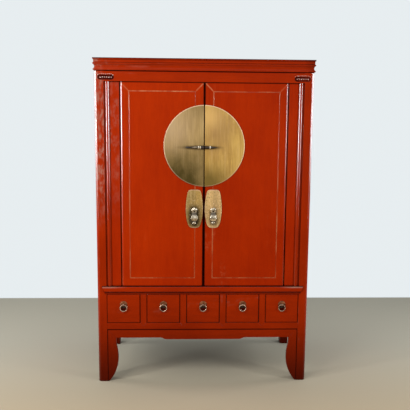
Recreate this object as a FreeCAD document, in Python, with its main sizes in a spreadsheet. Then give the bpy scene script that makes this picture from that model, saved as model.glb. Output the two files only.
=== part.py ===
import FreeCAD, Part
import os
import re

import Sketcher

# A red lacquer wedding cabinet: a post and rail carcass, two doors that turn on wooden pins,
# a round metal plate split between the doors, two drop pulls, a bolt and five small drawers.
# Lengths are millimetres. X runs to the right, Y to the back and Z up, from the floor
# under the middle of the cabinet.

DRAWER_COUNT = 5
BACK_BOARD_COUNT = 4

# The small rings and their plates are drawn with this many flats, to keep the model light
ROUND_FLATS = 36

# Driving sizes
SIZES = {
    # Overall, and the levels of the front from the floor up
    "body_width": 1150,
    "body_depth": 590,
    "leg_height": 298,
    "lower_rail_height": 37,
    "drawer_opening_height": 162,
    "waist_rail_height": 44,
    "door_opening_height": 1092,
    "frieze_height": 52,
    "cornice_height": 67,
    # Posts and rails
    "post_width": 50,
    "post_depth": 58,
    "post_rounding": 17,
    "rear_post_size": 50,
    "rear_post_rounding": 5,
    "rail_depth": 40,
    "edge_break": 1.2,
    "overrun": 20,
    # Waist rail: a nose that stands proud and laps over the posts with slanted ends
    "nose_projection": 6,
    "nose_rounding": 5,
    "waist_bead_projection": 2,
    "waist_bead_height": 9,
    "waist_quirk_height": 4,
    "lap_depth": 8,
    "lap_top": 24,
    "lap_bottom": 7,
    # Cornice moulding, as projections from the face of the body and heights from its foot
    "cornice_depth": 60,
    "fascia_projection": 1,
    "lip_projection": 5,
    "lip_height": 7,
    "cornice_bead_projection": 5,
    "cornice_bead_height": 9,
    "cornice_quirk_height": 4,
    "cornice_quirk_depth": 3,
    "cornice_foot_projection": 4,
    "cornice_foot_height": 8,
    "cove_height": 22,
    "cove_sink": 4,
    "top_sink": 4,
    "top_thickness": 14,
    # Carved oblong over each post
    "cartouche_length": 86,
    "cartouche_width": 27,
    "cartouche_depth": 4,
    "cartouche_overlap": 31,
    "cartouche_drop": 5.5,
    # Beaded strip and plain filler beside each door
    "strip_width": 30,
    "strip_depth": 24,
    "strip_recess": 6,
    "strip_quirk": 8,
    "strip_bead_width": 19,
    "strip_bead_height": 5.5,
    "filler_width": 50,
    "filler_recess": 8,
    "filler_thickness": 16,
    # Apron and leg brackets
    "apron_height": 48,
    "apron_recess": 2,
    "apron_thickness": 18,
    "apron_step_drop": 10,
    "apron_step_inner": 200,
    "apron_step_outer": 236,
    "bracket_toe_width": 8,
    "bracket_belly_width": 59,
    "bracket_belly_height": 128,
    "bracket_shoulder_height": 216,
    "side_apron_height": 40,
    # Sides, back and inside boards
    "side_recess": 3,
    "side_rail_thickness": 26,
    "side_top_rail_height": 60,
    "side_panel_recess": 10,
    "side_panel_thickness": 10,
    "back_recess": 3,
    "back_rail_thickness": 24,
    "back_board_recess": 8,
    "back_board_thickness": 10,
    "back_board_gap": 0.6,
    "floor_sink": 6,
    "floor_thickness": 16,
    "shelf_height": 1085,
    "shelf_thickness": 16,
    "shelf_setback": 70,
    "bearer_width": 20,
    "bearer_height": 24,
    "dust_board_thickness": 12,
    "guide_height": 24,
    # Doors
    "door_thickness": 26,
    "door_side_gap": 4,
    "door_meeting_gap": 4,
    "door_end_gap": 2,
    "door_frame_width": 46,
    "door_lap_depth": 12,
    "door_panel_thickness": 13,
    "batten_height": 40,
    "batten_thickness": 11,
    "pin_radius": 8,
    "pin_length": 20,
    "pin_clearance": 0.05,
    "socket_spare": 1,
    # Drawers
    "divider_width": 35,
    "divider_tongue_depth": 12,
    "divider_tongue_height": 20,
    "drawer_gap": 1.5,
    "drawer_recess": 0.5,
    "drawer_front_thickness": 20,
    "drawer_side_height": 112,
    "drawer_side_thickness": 10,
    "drawer_bottom_thickness": 8,
    "drawer_bottom_rise": 4,
    "drawer_running_gap": 0.3,
    "drawer_length": 430,
    # Flat metal plates on the doors
    "plate_thickness": 2.5,
    "moon_radius": 214,
    "moon_rise": 761,
    "moon_gap": 6,
    "pull_plate_width": 91,
    "pull_plate_end_width": 66,
    "pull_plate_height": 206,
    "pull_plate_top_bow": 4,
    "pull_plate_bottom_bow": 13,
    "pull_plate_top_corner": 8,
    "pull_plate_bottom_corner": 22,
    "pull_offset": 50.8,
    "pull_rise": 427,
    # Staples: a flat strip bent round an opening, with both legs let through a slot
    "loop_inner": 7.7,
    "loop_outer": 10.1,
    "eye_inner": 3.8,
    "eye_outer": 6,
    "staple_width": 4,
    "staple_leg_height": 3.6,
    "slot_clearance": 0.1,
    "tail_length": 24,
    "tail_thickness": 1.4,
    # Drop pulls
    "drop_thickness": 8,
    "drop_bar_height": 12,
    "drop_hole_radius": 5.2,
    "drop_width": 34,
    "drop_length": 82,
    # Drawer rings and their round plates
    "rosette_radius": 20,
    "rosette_thickness": 2,
    "ring_radius": 18,
    "ring_width": 5.6,
    "ring_thickness": 4,
    "ring_rise": 22,
    # Bolt across the doors
    "bolt_drop": 7,
    "bolt_radius": 4,
    "bolt_clearance": 0.3,
    "bolt_length": 84,
    "point_half_width": 4.4,
    "point_tip_half_width": 0.8,
    "bolt_point_length": 17,
    "barrel_outer": 7.5,
    "barrel_near": 38,
    "barrel_far": 64,
    "lock_eye_outer": 8.4,
    "lock_eye_width": 3.4,
    "lock_eye_first": 21,
    "lock_eye_second": 31,
    "lock_leg_depth": 12,
    "keeper_mouth": 4,
    "keeper_bore_length": 18,
    "keeper_radius": 6.2,
    "keeper_fit": 0.05,
    "keeper_length": 36,
    "keeper_point_length": 32,
}

# Places worked out from the sizes
PLACES = {
    "half_width": "body_width / 2",
    "hardware_reach": "plate_thickness + 2 * loop_outer",
    "front": "-(body_depth - hardware_reach) / 2",
    "rear": "front + body_depth",
    "post_inner": "half_width - post_width",
    "lower_rail_top": "leg_height + lower_rail_height",
    "drawer_opening_top": "lower_rail_top + drawer_opening_height",
    "waist_rail_top": "drawer_opening_top + waist_rail_height",
    "door_opening_top": "waist_rail_top + door_opening_height",
    "frieze_top": "door_opening_top + frieze_height",
    "cabinet_top": "frieze_top + cornice_height",
    "side_rail_inner": "half_width - side_recess - side_rail_thickness",
    "side_panel_inner": "half_width - side_panel_recess - side_panel_thickness",
    "back_rail_front": "rear - back_recess - back_rail_thickness",
    "floor_top": "waist_rail_top - floor_sink",
    "door_outer": "post_inner - strip_width - filler_width - door_side_gap",
    "door_inner": "door_meeting_gap / 2",
    "door_bottom": "waist_rail_top + door_end_gap",
    "door_top": "door_opening_top - door_end_gap",
    "hinge_radius": "door_thickness / 2",
    "hinge_x": "door_outer - hinge_radius",
    "hinge_y": "front + hinge_radius",
    "socket_radius": "pin_radius + pin_clearance",
    "socket_depth": "pin_length + socket_spare - door_end_gap",
    "moon_height": "waist_rail_top + moon_rise",
    "pull_height": "waist_rail_top + pull_rise",
    "pull_y": "front - plate_thickness - loop_outer",
    "drawer_opening_width": f"(2 * post_inner - {DRAWER_COUNT - 1} * divider_width) / {DRAWER_COUNT}",
    "drawer_half": "drawer_opening_width / 2 - drawer_gap",
    "drawer_face": "front + drawer_recess",
    "drawer_inner_face": "drawer_face + drawer_front_thickness",
    "drawer_foot": "lower_rail_top + drawer_running_gap",
    "ring_height": "lower_rail_top + drawer_opening_height / 2 + ring_rise",
    "ring_y": "drawer_face - rosette_thickness - eye_outer",
    "bolt_bore": "bolt_radius + bolt_clearance",
    "bolt_height": "moon_height - bolt_drop",
    "bolt_y": "front - plate_thickness - lock_eye_outer",
}

# How far the apron's step has dropped at the middle of its first arc
STEP_BOW_SHARE = 0.14

# Where the door battens lie, of the door's height
BATTEN_PLACE_SHARES = (0.22, 0.78)

# Curve points between the toe, the belly and the shoulder of a leg bracket, across and up
TOE_CURVE_SHARES = (0.72, 0.46)
SHOULDER_CURVE_SHARES = (0.8, 0.5)

# One side of a drop pull: places across, of its half width, and down, of its length
DROP_CROWN_SHARE = 0.41
DROP_ARC_SHARES = (
    ((0.83, 0.0), (0.88, 0.09)),
    ((0.80, 0.18), (0.68, 0.26)),
    ((1.00, 0.62), (0.41, 0.84)),
    ((0.50, 0.94), (0.14, 1.00)),
)

# How near, in millimetres, a named point has to lie to count as on an edge
ON_EDGE = 0.001

doc = FreeCAD.newDocument("WeddingCabinet")
sheet = doc.addObject("Spreadsheet::Sheet", "Sizes")
for row, (alias, size) in enumerate(SIZES.items(), 1):
    sheet.set(f"A{row}", alias)
    sheet.set(f"B{row}", str(size))
    sheet.setAlias(f"B{row}", alias)
doc.recompute()

nodes = []


def bound(text):
    """An expression on the sheet, from one that uses the names of sizes and places."""

    def swap(match):
        word = match.group(0)
        if word in PLACES:
            return f"({bound(PLACES[word])})"
        return f"Sizes.{word}" if word in SIZES else word

    return re.sub(r"[a-z_]+", swap, text)


def value(text):
    """The number that an expression gives."""
    return float(sheet.evalExpression(bound(text)))


class Arc:
    """A round stretch of an outline: the point that it passes through, and its end."""

    def __init__(self, through, end):
        self.through = through
        self.end = end


class Circle:
    """A whole circle: its centre and its radius."""

    def __init__(self, centre, radius):
        self.centre = centre
        self.radius = radius


def vector(point):
    return FreeCAD.Vector(*(value(text) for text in point))


def tie(sketch, geometry, end, point):
    """Hold one point of a sketch at a place that the sheet gives."""
    for kind, text in zip(("DistanceX", "DistanceY"), point):
        rule = Sketcher.Constraint(kind, -1, 1, geometry, end, value(text))
        index = sketch.addConstraint(rule)
        sketch.setExpression(f"Constraints[{index}]", bound(text))


def draw_circle(sketch, circle):
    centre = FreeCAD.Vector(*(value(text) for text in circle.centre), 0)
    up = FreeCAD.Vector(0, 0, 1)
    geometry = sketch.addGeometry(Part.Circle(centre, up, value(circle.radius)))
    tie(sketch, geometry, 3, circle.centre)
    index = sketch.addConstraint(Sketcher.Constraint("Radius", geometry, value(circle.radius)))
    sketch.setExpression(f"Constraints[{index}]", bound(circle.radius))


def draw_outline(sketch, steps):
    """Draw a closed outline. It starts at a corner, and each step is a corner or an Arc."""
    corners = [step.end if isinstance(step, Arc) else step for step in steps]
    if corners[-1] != corners[0]:
        steps = [*steps, corners[0]]
        corners = [*corners, corners[0]]
    spots = [FreeCAD.Vector(*(value(text) for text in corner), 0) for corner in corners]
    ends = []
    for number, step in enumerate(steps[1:]):
        begin, finish = spots[number], spots[number + 1]
        if isinstance(step, Arc):
            through = FreeCAD.Vector(*(value(text) for text in step.through), 0)
            geometry = sketch.addGeometry(Part.Arc(begin, through, finish))
            mark = sketch.addGeometry(Part.Point(through), True)
            tie(sketch, mark, 1, step.through)
            sketch.addConstraint(Sketcher.Constraint("PointOnObject", mark, 1, geometry))
        else:
            geometry = sketch.addGeometry(Part.LineSegment(begin, finish))
        first = 1 if sketch.getPoint(geometry, 1).distanceToPoint(begin) < ON_EDGE else 2
        ends.append((geometry, first, 3 - first))
    for number, (geometry, first, _) in enumerate(ends):
        before, _, last = ends[number - 1]
        sketch.addConstraint(Sketcher.Constraint("Coincident", before, last, geometry, first))
        tie(sketch, geometry, first, corners[number])


def new_body(name):
    return doc.addObject("PartDesign::Body", name)


def new_sketch(body, plane, shapes, level, across="0", up="0"):
    """A sketch on one of the body's planes, moved along the plane's own axis to a level."""
    sketch = body.newObject("Sketcher::SketchObject", f"{body.Name}_sketch")
    base = next(part for part in body.Origin.OriginFeatures if part.Role == f"{plane}_Plane")
    sketch.AttachmentSupport = [(base, "")]
    sketch.MapMode = "FlatFace"
    toward = "-" if plane == "XZ" else ""
    for axis, text in zip("xyz", (across, up, f"{toward}({level})")):
        sketch.setExpression(f"AttachmentOffset.Base.{axis}", bound(text))
    for shape in shapes:
        if isinstance(shape, Circle):
            draw_circle(sketch, shape)
        else:
            draw_outline(sketch, shape)
    return sketch


def pad(body, plane, shapes, low, high):
    """Raise outlines from the low to the high level along the plane's axis."""
    level = high if plane == "XZ" else low
    feature = body.newObject("PartDesign::Pad", f"{body.Name}_pad")
    feature.Profile = new_sketch(body, plane, shapes, level)
    feature.setExpression("Length", bound(f"({high}) - ({low})"))
    doc.recompute()
    return feature


def pocket(body, plane, shapes, low, high):
    """Cut outlines out between the low and the high level along the plane's axis."""
    level = low if plane == "XZ" else high
    before = body.Tip.Shape.Volume
    feature = body.newObject("PartDesign::Pocket", f"{body.Name}_pocket")
    feature.Profile = new_sketch(body, plane, shapes, level)
    feature.setExpression("Length", bound(f"({high}) - ({low})"))
    doc.recompute()
    if feature.Shape.Volume >= before:
        raise RuntimeError(f"{feature.Name} cuts nothing")
    return feature


def soften(body, kind, size, points):
    """Round or bevel the edges of a body that pass through the given points."""
    base = body.Tip
    probes = [Part.Vertex(vector(point)) for point in points]
    names = [
        f"Edge{number}"
        for number, edge in enumerate(base.Shape.Edges, 1)
        if any(edge.distToShape(probe)[0] < ON_EDGE for probe in probes)
    ]
    feature = body.newObject(f"PartDesign::{kind}", f"{body.Name}_{kind.lower()}")
    feature.Base = (base, names)
    feature.setExpression("Radius" if kind == "Fillet" else "Size", bound(size))
    doc.recompute()
    return feature


def place(piece, spot):
    for axis, text in zip("xyz", spot):
        piece.setExpression(f"Placement.Base.{axis}", bound(text))


def board(name, across, deep, up):
    """A plain board, from its low and high ends along X, Y and Z."""
    piece = doc.addObject("Part::Box", name)
    for size, (low, high) in zip(("Length", "Width", "Height"), (across, deep, up)):
        piece.setExpression(size, bound(f"({high}) - ({low})"))
    place(piece, [low for low, _ in (across, deep, up)])
    return piece


def slot(x, z, width="staple_width"):
    """The opening in a plate or a board that a staple's legs go through."""
    half_width, half_height = f"({width}) / 2 + slot_clearance", "staple_leg_height / 2 + slot_clearance"
    return rectangle(
        (f"{x} - ({half_width})", f"{x} + {half_width}"),
        (f"{z} - ({half_height})", f"{z} + {half_height}"),
    )


def flats(centre, radius):
    """An outline that stands for a circle on the smallest pieces."""
    across, up = centre
    turns = [f"{number} * 360 / {ROUND_FLATS}" for number in range(ROUND_FLATS)]
    return [
        (f"{across} + ({radius}) * cos({turn})", f"{up} + ({radius}) * sin({turn})")
        for turn in turns
    ]


def mirrored(source, name):
    """The same piece on the other side of the cabinet's middle."""
    twin = doc.addObject("Part::Mirroring", name)
    twin.Source = source
    twin.Normal = FreeCAD.Vector(1, 0, 0)
    return twin


def group(name, pieces):
    bundle = doc.addObject("Part::Compound", name)
    bundle.Links = pieces
    return bundle


def keep(label, piece):
    """Name a finished sub-part. Its label is the name of its file."""
    piece.Label = label
    nodes.append(piece)
    return piece


def keep_pair(label, left):
    """Keep a left-hand piece and its mirror image as two sub-parts."""
    keep(f"left_{label}", left)
    keep(f"right_{label}", mirrored(left, f"right_{label}"))


def keep_both(label, left):
    """Keep a left-hand piece and its mirror image as one sub-part of separate solids."""
    keep(label, group(label, [left, mirrored(left, f"{label}_twin")]))


def rectangle(across, up):
    (left, right), (low, high) = across, up
    return [(left, low), (right, low), (right, high), (left, high)]


# Posts

def waist_lap(side):
    """The slanted end of the waist rail where it lies over a post."""
    return [
        (f"{side}(post_inner - overrun)", "drawer_opening_top"),
        (f"{side}(post_inner + lap_bottom)", "drawer_opening_top"),
        (f"{side}(post_inner + lap_top)", "waist_rail_top"),
        (f"{side}(post_inner - overrun)", "waist_rail_top"),
    ]


def cartouche(side):
    """The round-ended oblong that is carved across the head of a post and the frieze."""
    end = "cartouche_width / 2"
    middle = "door_opening_top + frieze_height / 2 - cartouche_drop"
    outer = "post_inner + cartouche_overlap"
    inner = f"{outer} - cartouche_length"
    low, high = f"{middle} - {end}", f"{middle} + {end}"
    start = (f"{side}({inner} + {end})", low)
    return [
        start,
        (f"{side}({outer} - {end})", low),
        Arc((f"{side}({outer})", middle), (f"{side}({outer} - {end})", high)),
        (f"{side}({inner} + {end})", high),
        Arc((f"{side}({inner})", middle), start),
    ]


def front_post():
    post = new_body("front_post")
    section = rectangle(("-half_width", "-post_inner"), ("front", "front + post_depth"))
    pad(post, "XY", [section], "0", "frieze_top")
    soften(post, "Fillet", "post_rounding", [("-half_width", "front", "leg_height")])
    pocket(post, "XZ", [waist_lap("-")], "front - overrun", "front + lap_depth")
    pocket(post, "XZ", [cartouche("-")], "front - overrun", "front + cartouche_depth")
    return post


def rear_post():
    post = new_body("rear_post")
    inner = "-(half_width - rear_post_size)"
    section = rectangle(("-half_width", inner), ("rear - rear_post_size", "rear"))
    pad(post, "XY", [section], "0", "frieze_top")
    soften(post, "Fillet", "rear_post_rounding", [("-half_width", "rear", "leg_height")])
    return post


keep_pair("front_post", front_post())
keep_both("rear_posts", rear_post())


# Cornice: one moulding, mitred round the front corners

def cornice_section(face, outward):
    """The moulding's outline: across it, away from the face of the body, and up."""
    inward = "+" if outward == "-" else "-"

    def spot(projection, height):
        return (f"{face} {outward} ({projection})", f"frieze_top + {height}")

    foot_top = "cornice_quirk_height + cornice_foot_height"
    foot_middle = "cornice_quirk_height + cornice_foot_height / 2"
    cove_top = f"{foot_top} + cove_height"
    cove_middle = f"{foot_top} + cove_height / 2"
    fascia_foot = f"{cove_top} + cornice_bead_height"
    lip_foot = "cornice_height - lip_height"
    back = f"{face} {inward} cornice_depth"
    return [
        (back, "frieze_top"),
        spot("-cornice_quirk_depth", "0"),
        spot("-cornice_quirk_depth", "cornice_quirk_height"),
        spot("fascia_projection", "cornice_quirk_height"),
        Arc(spot("cornice_foot_projection", foot_middle), spot("fascia_projection", foot_top)),
        Arc(spot("fascia_projection - cove_sink", cove_middle), spot("fascia_projection", cove_top)),
        Arc(
            spot("cornice_bead_projection", f"{cove_top} + cornice_bead_height / 2"),
            spot("fascia_projection", fascia_foot),
        ),
        spot("fascia_projection", lip_foot),
        spot("lip_projection", lip_foot),
        spot("lip_projection", "cornice_height"),
        (back, "cabinet_top"),
    ]


def mitre_corner(side, past):
    """Half of the square about a front corner, on the side of the mitre named by past."""
    outer, inner = "half_width + overrun", "half_width - cornice_depth - overrun"
    ahead, behind = "front - overrun", "front + cornice_depth + overrun"
    far_corner = {
        "side": (f"{side}({outer})", behind),
        "front": (f"{side}({inner})", ahead),
    }[past]
    return [(f"{side}({outer})", ahead), (f"{side}({inner})", behind), far_corner]


def cornice_front():
    moulding = new_body("cornice_front")
    end = "half_width + lip_projection"
    pad(moulding, "YZ", [cornice_section("front", "-")], f"-({end})", end)
    corners = [mitre_corner("-", "side"), mitre_corner("", "side")]
    pocket(moulding, "XY", corners, "frieze_top - overrun", "cabinet_top + overrun")
    return moulding


def cornice_side():
    moulding = new_body("cornice_side")
    section = cornice_section("-half_width", "-")
    pad(moulding, "XZ", [section], "front - lip_projection", "rear")
    corner = mitre_corner("-", "front")
    pocket(moulding, "XY", [corner], "frieze_top - overrun", "cabinet_top + overrun")
    return moulding


frame_inner = "half_width - cornice_depth"
keep("cornice_front", cornice_front())
keep_pair("cornice", cornice_side())
keep("cornice_back", board(
    "cornice_back",
    (f"-({frame_inner})", frame_inner),
    ("rear - cornice_depth", "rear"),
    ("frieze_top", "cabinet_top"),
))
keep("top_panel", board(
    "top_panel",
    (f"-({frame_inner})", frame_inner),
    ("front + cornice_depth", "rear - cornice_depth"),
    ("cabinet_top - top_sink - top_thickness", "cabinet_top - top_sink"),
))


# Front rails and dividers

def hinge_sockets():
    """The holes that the door's wooden pins turn in, as seen from above."""
    return [Circle((f"{side}hinge_x", "hinge_y"), "socket_radius") for side in ("-", "")]


def divider_x(number):
    """The middle of a divider, counted from the left."""
    return f"({number} - {DRAWER_COUNT / 2}) * (drawer_opening_width + divider_width)"


def divider_tongue(x, top):
    """The pointed foot of a divider, let into the face of the lower rail."""
    return [
        (f"{x} - divider_width / 2", top),
        (x, f"{top} - divider_tongue_height"),
        (f"{x} + divider_width / 2", top),
    ]


def frieze_rail():
    rail = new_body("frieze_rail")
    face = rectangle(("-post_inner", "post_inner"), ("door_opening_top", "frieze_top"))
    pad(rail, "XZ", [face], "front", "front + rail_depth")
    ovals = [cartouche("-"), cartouche("")]
    pocket(rail, "XZ", ovals, "front - overrun", "front + cartouche_depth")
    top = "door_opening_top + socket_depth"
    pocket(rail, "XY", hinge_sockets(), "door_opening_top", top)
    return rail


def waist_rail():
    """A rounded nose over a small bead, with slanted ends let into the posts."""
    rail = new_body("waist_rail")
    foot, top = "drawer_opening_top", "waist_rail_top"
    nose_foot = f"{foot} + waist_bead_height + waist_quirk_height"
    nose, shy = "front - nose_projection", "nose_rounding * (1 - sqrt(0.5))"
    section = [
        ("front + rail_depth", foot),
        ("front - waist_bead_projection", foot),
        ("front - waist_bead_projection", f"{foot} + waist_bead_height"),
        ("front", nose_foot),
        Arc((f"{nose} + {shy}", f"{nose_foot} + {shy}"), (nose, f"{nose_foot} + nose_projection")),
        (nose, f"{top} - nose_rounding"),
        Arc((f"{nose} + {shy}", f"{top} - {shy}"), (f"{nose} + nose_rounding", top)),
        ("front + rail_depth", top),
    ]
    end = "post_inner + lap_top"
    pad(rail, "YZ", [section], f"-({end})", end)
    for side in ("-", ""):
        past = f"{side}({end} + overrun)"
        behind_lap = [
            (f"{side}post_inner", "front + lap_depth"),
            (past, "front + lap_depth"),
            (past, "front + rail_depth + overrun"),
            (f"{side}post_inner", "front + rail_depth + overrun"),
        ]
        pocket(rail, "XY", [behind_lap], f"{foot} - overrun", f"{top} + overrun")
        below_slant = [
            (f"{side}(post_inner + lap_bottom)", foot),
            (f"{side}({end})", top),
            (past, top),
            (past, foot),
        ]
        pocket(rail, "XZ", [below_slant], "front - overrun", "front + rail_depth")
    pocket(rail, "XY", hinge_sockets(), f"{top} - socket_depth", top)
    return rail


def lower_rail():
    rail = new_body("lower_rail")
    face = rectangle(("-post_inner", "post_inner"), ("leg_height", "lower_rail_top"))
    pad(rail, "XZ", [face], "front", "front + rail_depth")
    notches = [
        divider_tongue(divider_x(number), "lower_rail_top") for number in range(1, DRAWER_COUNT)
    ]
    pocket(rail, "XZ", notches, "front - overrun", "front + divider_tongue_depth")
    return rail


def divider(number):
    upright = new_body(f"divider_{number}")
    half = "divider_width / 2"
    face = rectangle((f"-{half}", half), ("lower_rail_top", "drawer_opening_top"))
    pad(upright, "XZ", [face], "front", "front + rail_depth")
    tongue = divider_tongue("0", "lower_rail_top")
    pad(upright, "XZ", [tongue], "front", "front + divider_tongue_depth")
    place(upright, (divider_x(number), "0", "0"))
    return upright


keep("frieze_rail", frieze_rail())
keep("waist_rail", waist_rail())
keep("lower_rail", lower_rail())
dividers = [divider(number) for number in range(1, DRAWER_COUNT)]
keep("drawer_dividers", group("drawer_dividers", dividers))


# Beaded strips and plain fillers beside the doors

def bead_strip():
    strip = new_body("bead_strip")
    flat = "front + strip_recess"
    bead = "-post_inner + strip_quirk"
    section = [
        ("-post_inner", flat),
        (bead, flat),
        Arc(
            (f"{bead} + strip_bead_width / 2", f"{flat} - strip_bead_height"),
            (f"{bead} + strip_bead_width", flat),
        ),
        ("-post_inner + strip_width", flat),
        ("-post_inner + strip_width", "front + strip_depth"),
        ("-post_inner", "front + strip_depth"),
    ]
    pad(strip, "XY", [section], "waist_rail_top", "door_opening_top")
    return strip


filler_outer = "post_inner - strip_width"
keep_both("bead_strips", bead_strip())
keep_both("filler_panels", board(
    "filler",
    (f"-({filler_outer})", f"-({filler_outer} - filler_width)"),
    ("front + filler_recess", "front + filler_recess + filler_thickness"),
    ("waist_rail_top", "door_opening_top"),
))


# Apron with a stepped lower edge, mitred to the curved leg brackets

apron_span = ("front + apron_recess", "front + apron_recess + apron_thickness")


def apron_step(side, outward):
    """The soft step of the apron's lower edge, as two arcs that bow opposite ways."""
    high = "leg_height - apron_height"
    drop, width = "apron_step_drop", "(apron_step_outer - apron_step_inner)"

    def spot(run_share, drop_share):
        return (
            f"{side}(apron_step_outer - {width} * {run_share})",
            f"{high} - {drop} * {drop_share}",
        )

    start, middle, end = spot("0", "0"), spot("1 / 2", "1 / 2"), spot("1", "1")
    bow_high = spot("1 / 4", STEP_BOW_SHARE)
    bow_low = spot("3 / 4", f"(1 - {STEP_BOW_SHARE})")
    if outward:
        return [end, Arc(bow_low, middle), Arc(bow_high, start)]
    return [start, Arc(bow_high, middle), Arc(bow_low, end)]


def front_apron():
    apron = new_body("front_apron")
    mitre_foot = ("post_inner - apron_height", "leg_height - apron_height")
    outline = [
        ("-post_inner", "leg_height"),
        (f"-({mitre_foot[0]})", mitre_foot[1]),
        *apron_step("-", outward=False),
        *apron_step("", outward=True),
        mitre_foot,
        ("post_inner", "leg_height"),
    ]
    pad(apron, "XZ", [outline], *apron_span)
    return apron


def leg_bracket():
    bracket = new_body("leg_bracket")
    post = "-post_inner"
    belly = (f"{post} + bracket_belly_width", "bracket_belly_height")
    shoulder = (f"{post} + apron_height", "bracket_shoulder_height")
    across, up = TOE_CURVE_SHARES
    toe_curve = (
        f"{post} + bracket_toe_width + (bracket_belly_width - bracket_toe_width) * {across}",
        f"bracket_belly_height * {up}",
    )
    across, up = SHOULDER_CURVE_SHARES
    shoulder_curve = (
        f"{post} + apron_height + (bracket_belly_width - apron_height) * {across}",
        f"bracket_belly_height + (bracket_shoulder_height - bracket_belly_height) * {up}",
    )
    outline = [
        (post, "leg_height"),
        (post, "0"),
        (f"{post} + bracket_toe_width", "0"),
        Arc(toe_curve, belly),
        Arc(shoulder_curve, shoulder),
        (f"{post} + apron_height", "leg_height - apron_height"),
    ]
    pad(bracket, "XZ", [outline], *apron_span)
    return bracket


side_bay = ("front + post_depth", "rear - rear_post_size")
keep("front_apron", front_apron())
keep_pair("leg_bracket", leg_bracket())
keep_both("side_aprons", board(
    "side_apron",
    ("-(half_width - side_recess)", "-(half_width - side_recess - apron_thickness)"),
    side_bay,
    ("leg_height - side_apron_height", "leg_height"),
))


# Sides and back: rails between the posts, with thin panels in the bays

rail_levels = (
    ("leg_height", "lower_rail_top"),
    ("drawer_opening_top", "waist_rail_top"),
    ("frieze_top - side_top_rail_height", "frieze_top"),
)
upper_bay = ("waist_rail_top", "frieze_top - side_top_rail_height")
lower_bay = ("lower_rail_top", "drawer_opening_top")

side_rails = [
    board("side_rail", ("-(half_width - side_recess)", "-side_rail_inner"), side_bay, level)
    for level in rail_levels
]
keep("side_rails", group("side_rails", [
    *side_rails,
    *(mirrored(rail, "side_rail_twin") for rail in side_rails),
]))
side_panel = ("-(half_width - side_panel_recess)", "-side_panel_inner")
keep_both("side_panels", group("side_panel", [
    board("side_panel_upper", side_panel, side_bay, upper_bay),
    board("side_panel_lower", side_panel, side_bay, lower_bay),
]))

back_span = "half_width - rear_post_size"
back_rails = [
    board("back_rail", (f"-({back_span})", back_span), ("back_rail_front", "rear - back_recess"), level)
    for level in rail_levels
]
keep("back_rails", group("back_rails", back_rails))

back_depth = ("rear - back_board_recess - back_board_thickness", "rear - back_board_recess")
back_pitch = f"(2 * ({back_span}) + back_board_gap) / {BACK_BOARD_COUNT}"
back_boards = []
for number in range(BACK_BOARD_COUNT):
    start = f"-({back_span}) + {number} * {back_pitch}"
    width = (start, f"{start} + {back_pitch} - back_board_gap")
    back_boards.append(board("back_board", width, back_depth, upper_bay))
back_boards.append(board("back_board_lower", (f"-({back_span})", back_span), back_depth, lower_bay))
keep("back_boards", group("back_boards", back_boards))


# Boards inside

def notched_board(name, low, high):
    """A board that fills the carcass between the rails and is cut round the four posts."""
    piece = new_body(name)
    wide, front_notch, rear_notch = "side_rail_inner", "post_inner", back_span
    ahead, behind = "front + rail_depth", "back_rail_front"
    outline = [
        (f"-{front_notch}", ahead),
        (front_notch, ahead),
        (front_notch, side_bay[0]),
        (wide, side_bay[0]),
        (wide, side_bay[1]),
        (rear_notch, side_bay[1]),
        (rear_notch, behind),
        (f"-({rear_notch})", behind),
        (f"-({rear_notch})", side_bay[1]),
        (f"-{wide}", side_bay[1]),
        (f"-{wide}", side_bay[0]),
        (f"-{front_notch}", side_bay[0]),
    ]
    pad(piece, "XY", [outline], low, high)
    return piece


keep("cupboard_floor", notched_board("cupboard_floor", "floor_top - floor_thickness", "floor_top"))
keep("dust_board", notched_board("dust_board", "lower_rail_top - dust_board_thickness", "lower_rail_top"))
keep("shelf", board(
    "shelf",
    ("-side_panel_inner", "side_panel_inner"),
    ("front + shelf_setback", side_bay[1]),
    ("shelf_height - shelf_thickness", "shelf_height"),
))
keep_both("shelf_bearers", board(
    "shelf_bearer",
    ("-side_panel_inner", "-(side_panel_inner - bearer_width)"),
    side_bay,
    ("shelf_height - shelf_thickness - bearer_height", "shelf_height - shelf_thickness"),
))

guide_height = ("lower_rail_top", "lower_rail_top + guide_height")
guides = []
for number in range(1, DRAWER_COUNT):
    x = divider_x(number)
    width = (f"{x} - divider_width / 2", f"{x} + divider_width / 2")
    guides.append(board("drawer_guide", width, ("front + rail_depth", "back_rail_front"), guide_height))
end_guide = board("end_guide", ("-side_rail_inner", "-post_inner"), side_bay, guide_height)
keep("drawer_guides", group("drawer_guides", [*guides, end_guide, mirrored(end_guide, "end_guide_twin")]))


# Door frame: stiles and rails are mitred on the face and lapped behind it

LOCK_EYES = ("lock_eye_first", "lock_eye_second")
frame_edge = "(door_outer - door_frame_width)"
frame_inner_edge = "(door_inner + door_frame_width)"
door_depth = ("front", "front + door_thickness")
face_layer = ("front", "front + door_lap_depth")
back_layer = ("front + door_lap_depth", "front + door_thickness")


def mitre_wedge(outer, inner, level, away):
    """The end of a stile above, or below, its mitre: from the corner of the door inward."""
    return [(outer, level), (inner, f"{level} {away} door_frame_width"), (inner, level)]


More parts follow.
